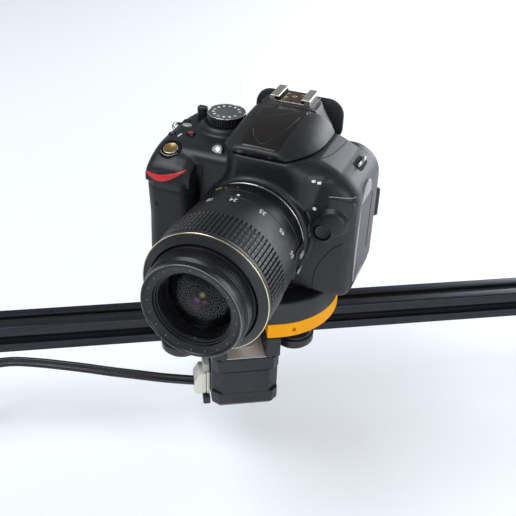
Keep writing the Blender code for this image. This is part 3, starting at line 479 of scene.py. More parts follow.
def piece(name, bm, place, mat, body, node=None, slot=None, smooth=38, edge=0.0, segments=2):
    """Finish a mesh in millimetres as a named object in its frame, riding on a body; it may replace a CAD node."""
    mesh = bpy.data.meshes.new(name)
    bm.to_mesh(mesh)
    bm.free()
    mesh.transform(place.to_3x3().to_4x4() @ Matrix.Scale(MM, 4))
    mesh.materials.append(MAT[mat])
    if smooth:
        mesh.shade_smooth()
        mesh.set_sharp_from_angle(angle=radians(smooth))
    obj = shown(name, mesh)
    obj.matrix_world = Matrix.Translation(place.translation)
    if edge:
        rounded(obj, edge, segments)
    if body:
        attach(obj, body)
        if node:
            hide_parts(node)
    return obj


def rounded(obj, width, segments=2, angle=40):
    step = obj.modifiers.new("edge", "BEVEL")
    step.width, step.segments, step.limit_method, step.angle_limit = width * MM, segments, "ANGLE", radians(angle)


def settle(obj):
    """Apply the object's modifiers to its mesh."""
    mesh = bpy.data.meshes.new_from_object(obj.evaluated_get(bpy.context.evaluated_depsgraph_get()))
    obj.modifiers.clear()
    obj.data = mesh


def carve(obj, tools, place):
    """Take the tools' shapes out of the object, one after the other."""
    for bm in tools:
        tool = piece("tool", bm, place, "seam", None)
        step = obj.modifiers.new("cut", "BOOLEAN")
        step.object, step.operation, step.solver = tool, "DIFFERENCE", "EXACT"
        bpy.context.view_layer.update()
        settle(obj)
        bpy.data.objects.remove(tool)


def fused(name, parts, cuts, node, voxel, relax):
    """Closed parts melted into one skin, smoothed, then cut by crisp cutters."""
    obj = piece(name, joined(parts), CAMERA, "body_black", "pan_head", node, smooth=0)
    melt = obj.modifiers.new("melt", "REMESH")
    melt.mode, melt.voxel_size = "VOXEL", voxel * MM
    ease = obj.modifiers.new("ease", "SMOOTH")
    ease.factor, ease.iterations = 0.5, relax
    settle(obj)
    carve(obj, cuts, CAMERA)
    obj.data.materials.clear()
    obj.data.materials.append(MAT["body_black"])
    obj.data.shade_smooth()
    obj.data.set_sharp_from_angle(angle=radians(50))
    return obj


def glyphs(text, size):
    """Digits and plain signs as a closed mesh, centred, in the XY plane."""
    curve = bpy.data.curves.new("glyphs", "FONT")
    curve.body, curve.size, curve.extrude = text, size, 0.05
    curve.align_x, curve.align_y = "CENTER", "CENTER"
    obj = shown("glyphs", curve)
    bpy.context.view_layer.update()
    mesh = bpy.data.meshes.new_from_object(obj.evaluated_get(bpy.context.evaluated_depsgraph_get()))
    bpy.data.objects.remove(obj)
    bm = bmesh.new()
    bm.from_mesh(mesh)
    bpy.data.meshes.remove(mesh)
    return bm


def wrapped(bm, radius, angle, height):
    """Lays a flat mark on a cylinder about Z: its x runs with the angle, its y along Z."""
    for v in bm.verts:
        a = radians(angle) + v.co.x / radius
        r = radius + v.co.z
        v.co = Vector((r * cos(a), r * sin(a), height + v.co.y))
    return bm


def hexagon(i, steps):
    """Stretch of a radius that turns a circle into a hexagon at step i."""
    return 1 / cos(((i * TAU / steps + pi / 6) % (pi / 3)) - pi / 6)


def screw_head(radius, height, socket, at, turn=0.0, axis="X"):
    """Cap screw head with a six-sided recess."""
    profile = [(0, 0), (radius, 0), (radius, height - 0.35), (radius - 0.35, height), (socket * 1.12, height),
               (socket * 0.98, height - 0.2), (socket * 0.98, height * 0.4), (0, height * 0.35)]
    return boss(profile, 24, at, turn, axis, lambda i, r, z: r * hexagon(i, 24) * 0.93 if r <= socket * 1.02 else r)


# ---- the pan motor's twin lead --------------------------------------------------------
CABLE_DROP = [
    (-50.4, -33.0, -25.3), (-53.2, -33.0, -25.1), (-70.0, -31.2, -23.2), (-87.0, -28.0, -21.6), (-105.0, -24.0, -20.4),
    (-120.5, -20.0, -19.4), (-137.0, -16.0, -18.6), (-152.0, -12.4, -18.2), (-169.0, -9.6, -18.0),
    (-183.0, -8.4, -21.0), (-193.0, -8.0, -29.5), (-198.4, -9.0, -42.0), (-199.8, -7.4, -54.5),
    (-199.4, -1.2, -64.0), (-200.3, 7.2, -69.6), (-203.9, 14.0, -71.4),
]
CABLE_RISE = [(-216.0, 9.2, -37.4), (-220.6, 11.9, -36.6), (-227.6, 12.6, -35.8), (-236.0, 10.6, -34.8),
              (-246.0, 6.2, -33.9)]
CABLE_END = (-256.6, 2.0, -33.0)
STRAND = 1.58                          # radius of one of the two strands
COIL_X, COIL_Y, COIL_LOW = -226.0, -3.0, -71.6


def coil_points():
    """Spare length in two flat turns on the floor; the last part climbs inside them."""
    points = []
    for angle in range(52, 754, 20):
        radius = max(27.0 - 6.6 * (angle - 42) / 360, 15.4)
        climb = max(0.0, (angle - 590) / 192)
        points.append((COIL_X + radius * cos(radians(angle)), COIL_Y + radius * sin(radians(angle)),
                       COIL_LOW + 35 * (3 - 2 * climb) * climb * climb))
    return points


def smooth_path(points, per_span):
    """Catmull-Rom curve through the points."""
    knots = [Vector(p) for p in points]
    knots = [2 * knots[0] - knots[1]] + knots + [2 * knots[-1] - knots[-2]]
    path = []
    for a, b, c, d in zip(knots, knots[1:], knots[2:], knots[3:]):
        for i in range(per_span):
            t = i / per_span
            path.append(0.5 * (2 * b + (c - a) * t + (2 * a - 5 * b + 4 * c - d) * t * t
                               + (3 * b - 3 * c + d - a) * t ** 3))
    return path + [knots[-2]]


def make_cable():
    path = smooth_path(CABLE_DROP + coil_points() + CABLE_RISE + [CABLE_END], 4)

    def twin(i):
        """Two round strands joined by a thin web, one above the other and leaning back a little."""
        lean = radians(32)
        points = [(STRAND * sin(a), rise + STRAND * cos(a)) for rise, start in ((STRAND, -160), (-STRAND, 20))
                  for a in [radians(start + 32 * k) for k in range(11)]]
        return [(x * cos(lean) + y * sin(lean), y * cos(lean) - x * sin(lean)) for x, y in points]

    cable = piece("pan_cable_twin_lead", sweep(path, twin), SLIDER, "cable_black", None, smooth=60)
    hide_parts("pan_cable")
    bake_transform(cable)


# ---- rail, end blocks and legs --------------------------------------------------------
def rail_outline():
    """Square extrusion with a slot in each side."""
    half, mouth = 10.0, 3.1
    side = [(-half + 1.3 - 1.3 * cos(a), half - 1.3 + 1.3 * sin(a)) for a in (pi / 6, pi / 4, pi / 3)]
    side += [(-half + 1.3, half), (-mouth - 0.7, half), (-mouth - 0.2, half - 0.15), (-mouth, half - 0.6),
             (-mouth, half - 1.6), (-5.6, half - 1.6), (-5.6, half - 3.2), (-3.0, half - 5.8),
             (3.0, half - 5.8), (5.6, half - 3.2), (5.6, half - 1.6), (mouth, half - 1.6),
             (mouth, half - 0.6), (mouth + 0.2, half - 0.15), (mouth + 0.7, half), (half - 1.3, half)]
    points = []
    for quarter in range(4):
        c, s = cos(-quarter * pi / 2), sin(-quarter * pi / 2)
        points += [(x * c - y * s, x * s + y * c) for x, y in side]
    return points


def make_rail():
    stations = [-300 + 600 * i / 24 for i in range(25)]
    rail = piece("rail_profile", loft([(x, rail_outline()) for x in stations], "x"), SLIDER, "dark_anodised",
                 "root", "rail", smooth=25)
    bores = [boss(drum(2.1, -1, 12), 20, (side * 300, 0, 0), -90 * side, "Y") for side in (-1, 1)]
    carve(rail, [joined(bores)], SLIDER)


def make_end(side, name):
    """U block with two cap screws in front, splayed leg with an arch under it, two rubber feet."""
    cheek = {"left": 21.0, "right": 10.6}[name]
    outline = [(-16, -16), (16, -16), (16, cheek), (10.3, cheek), (10.3, -10.3), (-10.3, -10.3), (-10.3, 10.6),
               (-16, 10.6)]
    ends = sorted((side * 275, side * 335))
    bolts_x = [side * 283, side * 296]
    bores = [boss(drum(3.2, -20, 20), 32, (side * PULLEY_X, 0, 0), 90)]
    bores += [boss(drum(2.9, 0, 4), 28, (x, -16, 0), -90) for x in bolts_x]
    bracket = piece(f"end_block_{name}", prism(outline, ends[0], ends[1], "x"), SLIDER, "black_printed", "root",
                    f"bracket_{name}", smooth=30)
    carve(bracket, [joined(bores)], SLIDER)
    rounded(bracket, 0.7, angle=50)
    bolts = [screw_head(2.7, 2.4, 1.25, (x, -14.6, 0), 90) for x in bolts_x]
    piece(f"end_bolts_{name}", joined(bolts), SLIDER, "black_steel", "root", slot="steel")

    floor, top = -68.7, -16.3
    leg = [(-60, floor), (-43, floor), (-38, floor + 3), (-17, top - 15)]
    leg += [(-17 + 34 * i / 8, top - 15 + 5 * sin(pi * i / 8)) for i in range(1, 8)]
    leg += [(17, top - 15), (38, floor + 3), (43, floor), (60, floor), (60, floor + 5), (20, top), (-20, top),
            (-60, floor + 5)]
    x = side * LEG_X
    piece(f"end_leg_{name}", prism(leg, x - 5, x + 5, "x"), SLIDER, "black_printed", "root", f"leg_{name}",
          smooth=30, edge=0.8)
    heads = [screw_head(2.6, 1.2, 1.2, (x + side * 4.4, y, -24), side * 90, "Y") for y in (-12, 12)]
    piece(f"leg_bolts_{name}", joined(heads), SLIDER, "black_steel", "root", slot="steel")
    pad = [(0, 0.9), (3.2, 0.9), (3.8, 0.3), (5.0, 0), (7.0, 0), (7.7, 0.4), (8, 1.2), (7.4, 5.2), (6.9, 6), (0, 6)]
    for end, y in (("front", -50), ("back", 50)):
        piece(f"foot_pad_{name}_{end}", turned(pad, 48), frame_at(x, y, -75, SLIDER), "rubber", "root",
              f"foot_{name}_{end}")


def motor(prefix, place, body):
    """Stepper motor: cast front bell with pilot and screws, laminated stack, black rear bell."""
    def square(half, cut):
        return [(-half + cut, -half), (half - cut, -half), (half, -half + cut), (half, half - cut),
                (half - cut, half), (-half + cut, half), (-half, half - cut), (-half, -half + cut)]

    half = MOTOR_HALF
    bell = loft([(-10, square(half, 4.2)), (-9.3, square(half, 4.0)), (-0.9, square(half, 4.0)),
                 (0, square(half - 0.8, 4.2))])
    piece(f"{prefix}_front_bell", bell, place, "motor_stack", body, f"{prefix}_bell", smooth=20, edge=0.35)
    face = loft([(-0.1, square(half - 0.9, 4.3)), (0.12, square(half - 1.0, 4.3))])
    piece(f"{prefix}_machined_face", face, place, "motor_bell", body, slot="motor_bell")
    pilot = turned([(3.2, -1), (11, -1), (11, 0.02), (10.7, 0.28), (8.4, 0.28), (8.1, 0.05), (3.6, 0.05),
                    (3.2, -0.2)], 64)
    piece(f"{prefix}_pilot", pilot, place, "motor_bell", body, slot="motor_bell")
    rim = [(-27.7, square(half, 6.5)), (-27.5, square(half, 6.4))]      # the stack's edge ripples sheet by sheet
    rim += [(-27.5 + 17.0 * i / 34 + (0.13 if i % 2 else 0), square(half - (0.09 if i % 2 else 0), 6.4))
            for i in range(1, 35)]
    piece(f"{prefix}_laminations", loft(rim + [(-10.3, square(half, 6.5))]), place, "motor_stack", body,
          f"{prefix}_stack", smooth=0)
    cap = loft([(-40, square(half - 3.2, 3.0)), (-39.2, square(half - 2.0, 3.2)), (-36.4, square(half, 4.0)),
                (-28, square(half, 4.0))])
    piece(f"{prefix}_rear_bell", cap, place, "motor_rear", body, f"{prefix}_cap", smooth=20, edge=0.4)
    spots = [(sx * 15.5, sy * 15.5) for sx in (-1, 1) for sy in (-1, 1)]
    tips = [boss([(0, -0.6), (1.5, -0.6), (1.5, 0.05), (1.2, 0.14), (0, 0.14)], 20, (a, b, 0)) for a, b in spots]
    piece(f"{prefix}_thread_tips", joined(tips), place, "steel", body, slot="steel")
    backs = [screw_head(2.5, 0.9, 1.1, (a, b, -39.0), 180) for a, b in spots]
    piece(f"{prefix}_rear_screws", joined(backs), place, "black_steel", body, slot="steel")


def make_slide_drive():
    motor("slide_motor", SLIDE_MOTOR, "root")
    profile = [(0, -16), (2.5, -16), (2.5, -4.2), (7.4, -4.2), (8, -3.9), (8, -3.3), (7.6, -3.0), (5.6, -3.0),
               (5.6, 3.0), (7.6, 3.0), (8, 3.3), (8, 3.9), (7.4, 4.2), (2.5, 4.2), (2.5, 15.6), (2.1, 16), (0, 16)]
    for name, x in (("drive_pulley", -PULLEY_X), ("idler_pulley", PULLEY_X)):
        toothed = turned(profile, 96, lambda i, r, z: r - (0.55 if 5.4 < r < 5.7 and i % 6 < 3 else 0))
        piece(f"{name}_toothed", toothed, frame_at(x, 0, 0, SLIDER, 90, "X"), "pulley_aluminium", name, name)
    piece("toothed_belt", belt_loop(), SLIDER, "belt_rubber", "root", "belt", smooth=30)


def belt_loop(steps=600, inner=5.9, outer=7.3, half_width=2.7, tooth=0.28):
    """Closed belt round both pulleys, its inner face stepped in and out."""
    bm = bmesh.new()
    loops = [[], [], [], []]
    straight, turn = 2.0 * PULLEY_X, pi * (inner + outer) / 2
    for i in range(steps):
        s = 2 * (straight + turn) * i / steps
        lift = tooth if i % 2 else 0.0
        for loop, (r, y) in zip(loops, ((inner + lift, -1), (outer, -1), (outer, 1), (inner + lift, 1))):
            if s < straight:
                x, z = s - PULLEY_X, r
            elif s < straight + turn:
                a = pi / 2 - (s - straight) / turn * pi
                x, z = PULLEY_X + r * cos(a), r * sin(a)
            elif s < 2 * straight + turn:
                x, z = PULLEY_X - (s - straight - turn), -r
            else:
                a = -pi / 2 - (s - 2 * straight - turn) / turn * pi
                x, z = -PULLEY_X + r * cos(a), r * sin(a)
            loop.append(bm.verts.new((x, y * half_width, z)))
    return stitched(bm, loops + loops[:1], caps=False)


def make_control_box():
    def inset(d):
        return round_rectangle(-6 + d, 42 - d, -52 + d, -18 - d, 3.5 - d * 0.6, 6)

    sections = [(0, inset(0)), (22.8, inset(0)), (23.7, inset(0.5)), (24, inset(1.2))]
    shell = piece("control_housing", loft([(BOX_X + x, outline) for x, outline in sections], "x"), SLIDER,
                  "black_printed", "root", "control_box", smooth=35)
    carve(shell, [joined([box(-259, -250, -4, 8, -37, -29), box(-259, -250, 16, 30, -38, -32)])], SLIDER)
    heads = [screw_head(1.9, 0.9, 0.9, (BOX_X + 23.1, y, z), 90, "Y") for y in (-2.4, 38.4) for z in (-48.4, -21.6)]
    piece("control_box_screws", joined(heads), SLIDER, "black_steel", "root", slot="steel")


# ---- carriage and panning base --------------------------------------------------------
# x and y of each wheel's axle
WHEELS = {"front_left": (-57.5, -22.2), "front_right": (16.1, -22.2), "back_left": (-57.5, 22.2),
          "back_right": (16.1, 22.2)}


def make_carriage():
    y, front = 31.2, MOTOR_Y + MOTOR_HALF + 2                        # 2 clear of the motor
    outline = [(-67.5, -y), (-44.5, -y), (-44.5, front), (3.2, front), (3.2, -y), (27.1, -y), (27.1, y), (-67.5, y)]
    piece("carriage_deck", prism(outline, 11.6, 15.6), SLIDER, "black_anodised", "carriage", "carriage_plate",
          smooth=30, edge=0.5)
    half = [(2.7, 4.6), (7.2, 4.6), (7.5, 4.2), (9.2, 4.2), (9.5, 4.6), (11.1, 4.6), (11.7, 4.3), (11.9, 3.7),
            (11.9, 2.6), (13.2, 2.6), (13.3, 2.4)]                   # the tongue runs in the rail's slot
    roller = [(r, -z) for r, z in half] + half[::-1]
    axle = [(0, -9.2), (3.4, -9.2), (4.0, -8.8), (4.0, -4.9), (2.4, -4.9), (2.4, 4.9), (4.4, 4.9), (4.4, 11.3),
            (2.5, 11.3), (2.5, 15.9), (0, 15.9)]
    for key, (x, wy) in WHEELS.items():
        place = frame_at(x, wy, 0, SLIDER)
        piece(f"roller_{key}", turned(roller, 96), place, "wheel_polymer", f"wheel_{key}", f"wheel_{key}")
        bolt = turned(axle, 48, lambda i, r, z: r * hexagon(i, 48) * 0.95 if z < -4.8 and r > 3 else r)
        piece(f"axle_bolt_{key}", bolt, place, "steel", "carriage", f"axle_{key}")
        piece(f"axle_head_{key}", screw_head(4.6, 2.6, 2.0, (0, 0, 15.9)), place, "black_steel", "carriage",
              slot="steel")
    clamp = box(-32, -14, -2.6, 2.6, 7.7, 11.3)
    piece("belt_grip", clamp, SLIDER, "pulley_aluminium", "carriage", "belt_clamp", edge=0.4)
    x0, x1 = MOTOR_X - MOTOR_HALF, MOTOR_X + MOTOR_HALF
    y0, y1 = MOTOR_Y - MOTOR_HALF, MOTOR_Y + MOTOR_HALF
    inner = [(MOTOR_X - 12, y0), (MOTOR_X - 12, MOTOR_Y + 12), (MOTOR_X + 11.8, MOTOR_Y + 12), (MOTOR_X + 11.8, y0)]
    piece("motor_riser", prism([(x0, y0)] + inner + [(x1, y0), (x1, y1), (x0, y1)], 7.2, 21.8), SLIDER,
          "black_printed", "carriage", "motor_bracket", smooth=30, edge=0.9)
    motor("pan_motor", PAN_MOTOR, "carriage")
    make_plug()


def make_plug():
    """White header with its latch, plug with a sloped shoulder and a strain relief."""
    side = MOTOR_X - MOTOR_HALF
    header = loft([(z, [(side - 2.4, -41), (side - 0.3, -41), (side - 0.3, -25), (side - 2.4, -25)])
                   for z in (-31, -14)])
    piece("lead_header", header, SLIDER, "connector_white", "carriage", "pan_motor_connector", edge=0.5)
    shape = [(-31.5, -50.4), (-30.5, -51.1), (-21.5, -51.1), (-16.5, -48.2), (-15.5, -47.6)]
    plug = loft([(z, [(a, -40), (-43.6, -40), (-43.6, -26), (a, -26)]) for z, a in shape])
    piece("lead_plug", plug, SLIDER, "connector_white", "carriage", "cable_plug", edge=0.6)
    ribs = [box(-50.2 + 1.9 * i, -49.5 + 1.9 * i, -40.35, -39.6, -29.5, -23.5) for i in range(3)]
    piece("lead_plug_ribs", joined(ribs), SLIDER, "connector_white", "carriage", slot="connector_white", edge=0.15)
    piece("header_clip", box(-45.6, -41.2, -39.5, -28, -13.4, -7.6), SLIDER, "clip_grey", "carriage",
          slot="connector_white", edge=0.6)
    latch = loft([(z, [(a, -43.5), (-41.2, -43.5), (-41.2, -33), (a, -33)]) for z, a in
                  ((-37.6, -45.2), (-36.8, -45.8), (-32.4, -45.8))])
    piece("lead_latch", latch, SLIDER, "motor_rear", "carriage", slot="motor_rear", edge=0.4)


def base_outline():
    """Round plate with a step at its front left, next to the motor."""
    front = PAN_Y - DISC_RADIUS
    end = TAU - (pi - asin(sqrt(1 - (34.2 / DISC_RADIUS) ** 2)))
    points = [(x, y + PAN_Y) for x, y in arc(0, 0, DISC_RADIUS, -pi / 2, end, 96)]
    return points + [(-9.2, points[-1][1] + 6), (-7.2, front + 8), (-7.2, front)]


def make_base():
    shaft = boss(drum(5, 20, 34), 40, (MOTOR_X, MOTOR_Y, 0))
    hole = moved(turned(drum(1.35, -8, 4), 24), Matrix.Translation((9.7, PAN_Y - DISC_RADIUS, 26.4))
                 @ Matrix.Rotation(0.2, 4, "Z") @ Matrix.Rotation(pi / 2, 4, "X"))
    base = piece("pan_base_plate", prism(base_outline(), 22.1, 32.1), SLIDER, "orange_plate", "carriage", "pan_base",
                 smooth=30)
    carve(base, [joined([shaft, hole])], SLIDER)
    rounded(base, 0.5, angle=60)
    profile = [(3.6, 41.3), (42.9, 41.3), (42.9, 32.4), (DISC_RADIUS, 32.4), (DISC_RADIUS, 45.2), (46.2, 46.0),
               (45.7, 46.8), (44.9, 47.3), (44.0, 47.5), (3.6, 47.5)]
    piece("pan_cap", turned(profile, 144), HEAD, "disc_black", "pan_head", "pan_disc")


def paint_hidden_nodes():
    """CAD nodes that are shown as they are take a full procedural finish."""
    for node in ("base_spacer", "pan_bearing", "pinion", "pan_gear", "pan_pad", "camera_screw", "lens_mount"):
        data = frame["nodes"][node].data
        data.materials.clear()
        data.materials.append(MAT[SLOT[node]])


# ---- camera body ----------------------------------------------------------------------
def skin(obj, place):
    """Search tree of an object's mesh, in millimetres of a frame."""
    here = Matrix.Scale(1 / MM, 4) @ place.inverted() @ Matrix.Translation(place.translation)
    return BVHTree.FromPolygons([here @ v.co for v in obj.data.vertices], [p.vertices[:] for p in obj.data.polygons])


def dropped(tree, points, ahead, step=1.0):
    """Smooth path through the points, laid on the skin along a direction, with outward normals."""
    ahead = Vector(ahead).normalized()
    fine, path = smooth_path(points, 24), []
    last = None
    for p in fine:
        hit, normal, _, _ = tree.ray_cast(p - ahead * 60, ahead)
        if hit is None or (last is not None and (hit - last).length < step):
            continue
        path.append((hit, normal if normal.dot(ahead) < 0 else -normal))
        last = hit
    calm = []
    for i in range(len(path)):
        close, near = path[max(0, i - 1):i + 2], path[max(0, i - 3):i + 4]
        calm.append((sum((p for p, _ in close), Vector()) / len(close),
                     sum((n for _, n in near), Vector()).normalized()))
    return calm


def seat(tree, point, ahead, spread):
    """Matrix with its z along the skin's outward normal where a ray lands."""
    ahead = Vector(ahead).normalized()
    side = ahead.orthogonal().normalized()
    other = ahead.cross(side)
    hits, normals = [], []
    for a, b in ((0, 0), (1, 0), (-1, 0), (0, 1), (0, -1)):
        start = Vector(point) + side * a * spread + other * b * spread
        hit, normal, _, _ = tree.ray_cast(start - ahead * 60, ahead)
        if hit is not None:
            hits.append(hit)
            normals.append(normal if normal.dot(ahead) < 0 else -normal)
    normal = sum(normals, Vector()).normalized()
    up = Vector((0, 0, 1)) if abs(normal.z) < 0.9 else Vector((0, 1, 0))
    x = up.cross(normal).normalized()
    y = normal.cross(x)
    return axes_at(hits[0], x, y, normal)


TILT = turned_by(17, "X")              # the shutter group leans forward


def finder_outline(scale, top):
    """Section of the viewfinder housing at the back."""
    return [(-26 * scale, 66), (26 * scale, 66), (26 * scale, 84), (17.5 * scale, top), (-17.5 * scale, top),
            (-26 * scale, 84)]


def make_body():
    def core(inset):
        return round_rectangle(-68 + inset, 59 - inset, 0.3 + inset * 0.7, 80 - inset, (4, 5, 17, 8), 8)

    def grip(inset, front):
        return round_rectangle(-69 + inset, -37.5 - inset * 0.6, front, -8, (12, 9, 1, 1), 8)

    def hump(side, top, right):
        return [(-34 * side, 58), (44 * right, 58), (49.5 * right, 76), (44.5 * right, 80.4), (38.5 * right, 83.6),
                (32.6 * right, top), (-22.6 * side, top), (-24.2 * side, top - 5), (-26 * side, 73)]

    parts = [
        loft([(-24, core(5.6)), (-23.2, core(3.6)), (-21.8, core(2.1)), (-19.5, core(0.9)), (-16, core(0.2)),
              (-13, core(0)), (23.5, core(0))], "y"),
        loft([(0.5, grip(2.4, -32.5)), (3, grip(0.6, -35)), (8, grip(0, -36.2)), (36, grip(0.6, -36.2)),
              (56, grip(0, -37)), (62, grip(0.3, -36.8)), (66.5, grip(1.4, -35.4)), (70, grip(3.2, -32.6)),
              (72.5, grip(5.4, -29))]),
        loft([(x, [(8, 60), (8, top), (-8, top), (-15, top - 0.6), (-21, top - 2.0), (-27, top - 4.4),
                   (-32, top - 7.6), (-34.5, top - 10.5), (-34.5, 60)])
              for x, top in ((-68, 75.5), (-66.5, 77.6), (-63, 79.2), (-58, 79.9), (-50, 79.9), (-44, 79),
                             (-39, 76.5))], "x"),
        boss([(0, -8), (34.2, -8), (33.8, 3), (33.5, 5.6), (32.8, 6.6), (31.6, 7), (0, 7)], 72, (0, -24, 40), 90),
        loft([(-28.7, hump(0.52, 83, 0.46)), (-28, hump(0.6, 85, 0.54)), (-26, hump(0.7, 86, 0.66)),
              (-22, hump(0.8, 86, 0.82)), (-17.5, hump(0.88, 86, 0.95)), (-14, hump(0.93, 86, 1)),
              (-6, hump(1, 86, 1)), (23.5, hump(1, 86, 1))], "y"),
        boss([(0, -4), (9.4, -4), (9.0, 1.6), (8.0, 3.0), (6.6, 3.6), (0, 3.8)], 48, (46.3, -24, 52.6), 90),
        boss([(0, -4), (8.6, -4), (8.2, 2.4), (7.6, 3.4), (6.8, 3.8), (0, 3.8)], 48, (41.4, -24, 47.2), 90),
        boss([(0, -6), (17, -6), (16.4, 1), (15.2, 3.2), (14, 4.2), (0, 4.2)], 64, (*MODE_DIAL_AT, DECK_Z)),
    ]
    cuts = [box(-90, 90, 22, 60, -5, 120),
            turned(drum(3.6, -8, 6.4), 24),
            moved(turned(drum(6.9, -3.6, 14), 40), Matrix.Translation(SHUTTER_AT) @ TILT),
            boss(drum(3.1, -2, 9), 24, RECORD_AT),
            boss(drum(5.4, -12, 12), 40, RELEASE_AT, 90),
            boss(drum(12.7, 0, 12), 72, (*MODE_DIAL_AT, DECK_Z)),
            box(-2.5, 2.5, -40, -29, -9, 0.9)]
    tree = skin(fused("body_front_shell", parts, cuts, "camera_body", 0.85, 5), CAMERA)

    def back(inset):
        return round_rectangle(-68 + inset, 59 - inset, 0.3 + inset, 80 - inset, (5, 6, 17, 9), 8)

    rest = round_rectangle(-66, -33, 30, 37.6, 3, 4)                 # thumb rest
    x, _, z = COMMAND_AT
    rear_parts = [loft([(21, back(0)), (28, back(0.2)), (31, back(1.2)), (33, back(2.9)), (34, back(4.6))], "y"),
                  loft([(21, finder_outline(1, 97.4)), (34, finder_outline(1, 97.4)),
                        (42.8, finder_outline(0.84, 96.4))], "y"),
                  loft([(52, rest), (66, rest), (70, round_rectangle(-62, -36, 30, 34, 1.5, 4))])]
    rear_cuts = [box(-90, 90, 0, 22.3, -5, 120), box(x - 7.2, x + 7.2, 20, 41, z - 2.9, z + 2.9),
                 box(-25.2, 60, 34.05, 45, 8.8, 65.2)]
    rear = fused("body_back_shell", rear_parts, rear_cuts, "camera_back", 0.9, 4)
    make_grip_rubber(tree)
    make_front_details(tree)
    make_back_details(skin(rear, CAMERA))
    make_lugs(tree)


def seated(tree, bm, point, ahead, spread=1.2):
    """Same mesh, standing on the skin where a ray from the point lands."""
    return moved(bm, seat(tree, point, ahead, spread))


def trim(name, bm, mat, slot=None, **rest):
    """Piece of the camera body that replaces no CAD node."""
    slot = slot or ("control_black" if mat == "control_black" else "body_black")
    piece(name, bm, CAMERA, mat, "pan_head", slot=slot, **rest)


def laid(tree, name, points, ahead, width, mat="seam", height=0.06, tuck=0.4):
    """Ribbon on the camera body along a path of points carried to the skin."""
    trim(name, ribbon(dropped(tree, points, ahead), width, height, tuck), mat, smooth=60)


def make_grip_rubber(tree):
    """Raised skin over the grip, in rows of points found on the shell from outside."""
    axis = Vector((*GRIP_AXIS, 0))
    across = [radians(-96 + 162 * i / 30) for i in range(31)]
    rows = []
    for k in range(29):
        row = []
        for dx, dy in ((sin(a), -cos(a)) for a in across):
            away = Vector((dx, dy, 0))
            origin = axis + Vector((0, 0, 5 + 54 * k / 28)) + away * (60 if dx < 0.3 else 21)
            row.append(tree.ray_cast(origin, -away)[:2])
        rows.append(row)
    bm = bmesh.new()
    rings, count = [], len(across)
    for k, row in enumerate(rows):
        outer, inner = [], []
        for i, (hit, normal) in enumerate(row):
            inside = 0 < k < len(rows) - 1 and 0 < i < count - 1
            outer.append(bm.verts.new(hit + Vector((normal.x, normal.y, 0)).normalized() * (0.45 if inside else -0.3)))
            inner.append(bm.verts.new(hit + (axis + Vector((0, 0, hit.z)) - hit) * 0.25))
        rings.append(outer + inner[::-1])
    for ring in (rings[0], rings[-1]):
        for i in range(count - 1):
            bm.faces.new((ring[i], ring[i + 1], ring[-2 - i], ring[-1 - i]))
    trim("grip_rubber", stitched(bm, rings, caps=False), "grip_rubber", smooth=50)


def make_front_details(tree):
    # red arc across the upper grip, thick in the middle
    def swell(t):
        return 0.7 + 3.1 * max(0.0, sin(pi * t ** 0.75)) ** 1.2

    laid(tree, "grip_red_arc", [(-67.5, -28, 66.2), (-62.6, -33.5, 64.3), (-57, -36.6, 64.4), (-51.6, -37, 66.0),
                                (-46.6, -35.6, 68.3), (-41.8, -33, 71.0)], (0, 1, 0), swell, "accent_red", 0.55, 0.8)
    # seams of the front shell
    back = (0, 1, 0)
    laid(tree, "seam_front_right", [(58.4, -20, 42.5), (54, -23, 41), (48, -24, 36), (43, -24, 29), (38.7, -24, 20.5),
                                    (37, -24, 10), (37, -24, 3)], back, 0.5)
    laid(tree, "seam_grip_inner", [(-35.5, -24, 70), (-36.6, -24, 55), (-37, -24, 30), (-36.5, -24, 8)], back, 0.4)
    laid(tree, "seam_hump_right", [(18, -27, 83), (26, -20, 81), (33, -8, 79.5), (36.5, 6, 79.5), (38, 21, 79.5)],
         (-0.25, 0.3, -1), 0.45)
    # blank badge plate and its light bow
    plate = prism(round_rectangle(-7.6, 7.6, -3.4, 3.4, 1.4, 5), -0.4, 0.35)
    trim("badge_plate", seated(tree, plate, (50.5, -24, 64.5), back), "panel_gloss", edge=0.15)
    bow = [(x, -24, 68.7 + 1.2 * (1 - ((x - 50.5) / 9) ** 2)) for x in (42, 45, 48, 51, 54, 57)]
    laid(tree, "badge_bow", bow, back, 0.5, "mark_grey", 0.12)
    for k, (x, z) in enumerate(((33.2, 77.0), (36.2, 76.4))):
        sign = prism(round_rectangle(-1.1, 1.1, -0.75, 0.75, 0.3, 3), -0.3, 0.1)
        trim(f"top_mark_{k + 1}", seated(tree, sign, (x, -24, z), (0, 1, -0.3)), "mark_white")
    dot = turned([(0, -0.3), (1.1, -0.3), (1.1, 0.06), (0.9, 0.12), (0, 0.12)], 24)
    trim("mount_dot", seated(tree, dot, (34.6, -24, 59.4), back), "mark_white")
    lamp_at = seat(tree, (-29.8, -18.6, 80.6), (0.3, 1, -0.6), 1.2).translation
    facing = Vector((-0.22, -0.72, 0.66)).normalized()
    across = Vector((0, 0, 1)).cross(facing).normalized()
    lamp_at = axes_at(lamp_at, across, facing.cross(across), facing)
    bezel = [(0, -1.5), (4.4, -1.5), (4.4, 0.3), (4.1, 0.6), (3.7, 0.6), (3.6, 0.1), (0, 0.1)]
    trim("lamp_bezel", moved(turned(bezel, 40), lamp_at), "control_black")
    dome = [(0, -0.6), (3.5, -0.6), (3.5, 0.2), (2.9, 0.8), (1.7, 1.2), (0, 1.35)]
    trim("lamp_lens", moved(turned(dome, 40), lamp_at), "lamp", "glass")
    port = [(0, -1), (2.0, -1), (2.0, 0.4), (1.6, 0.65), (0, 0.75)]
    trim("receiver_window", seated(tree, turned(port, 32), (-59.6, -35, 46.4), (0.1, 1, 0)), "baffle", "glass")
    make_top_controls(tree)


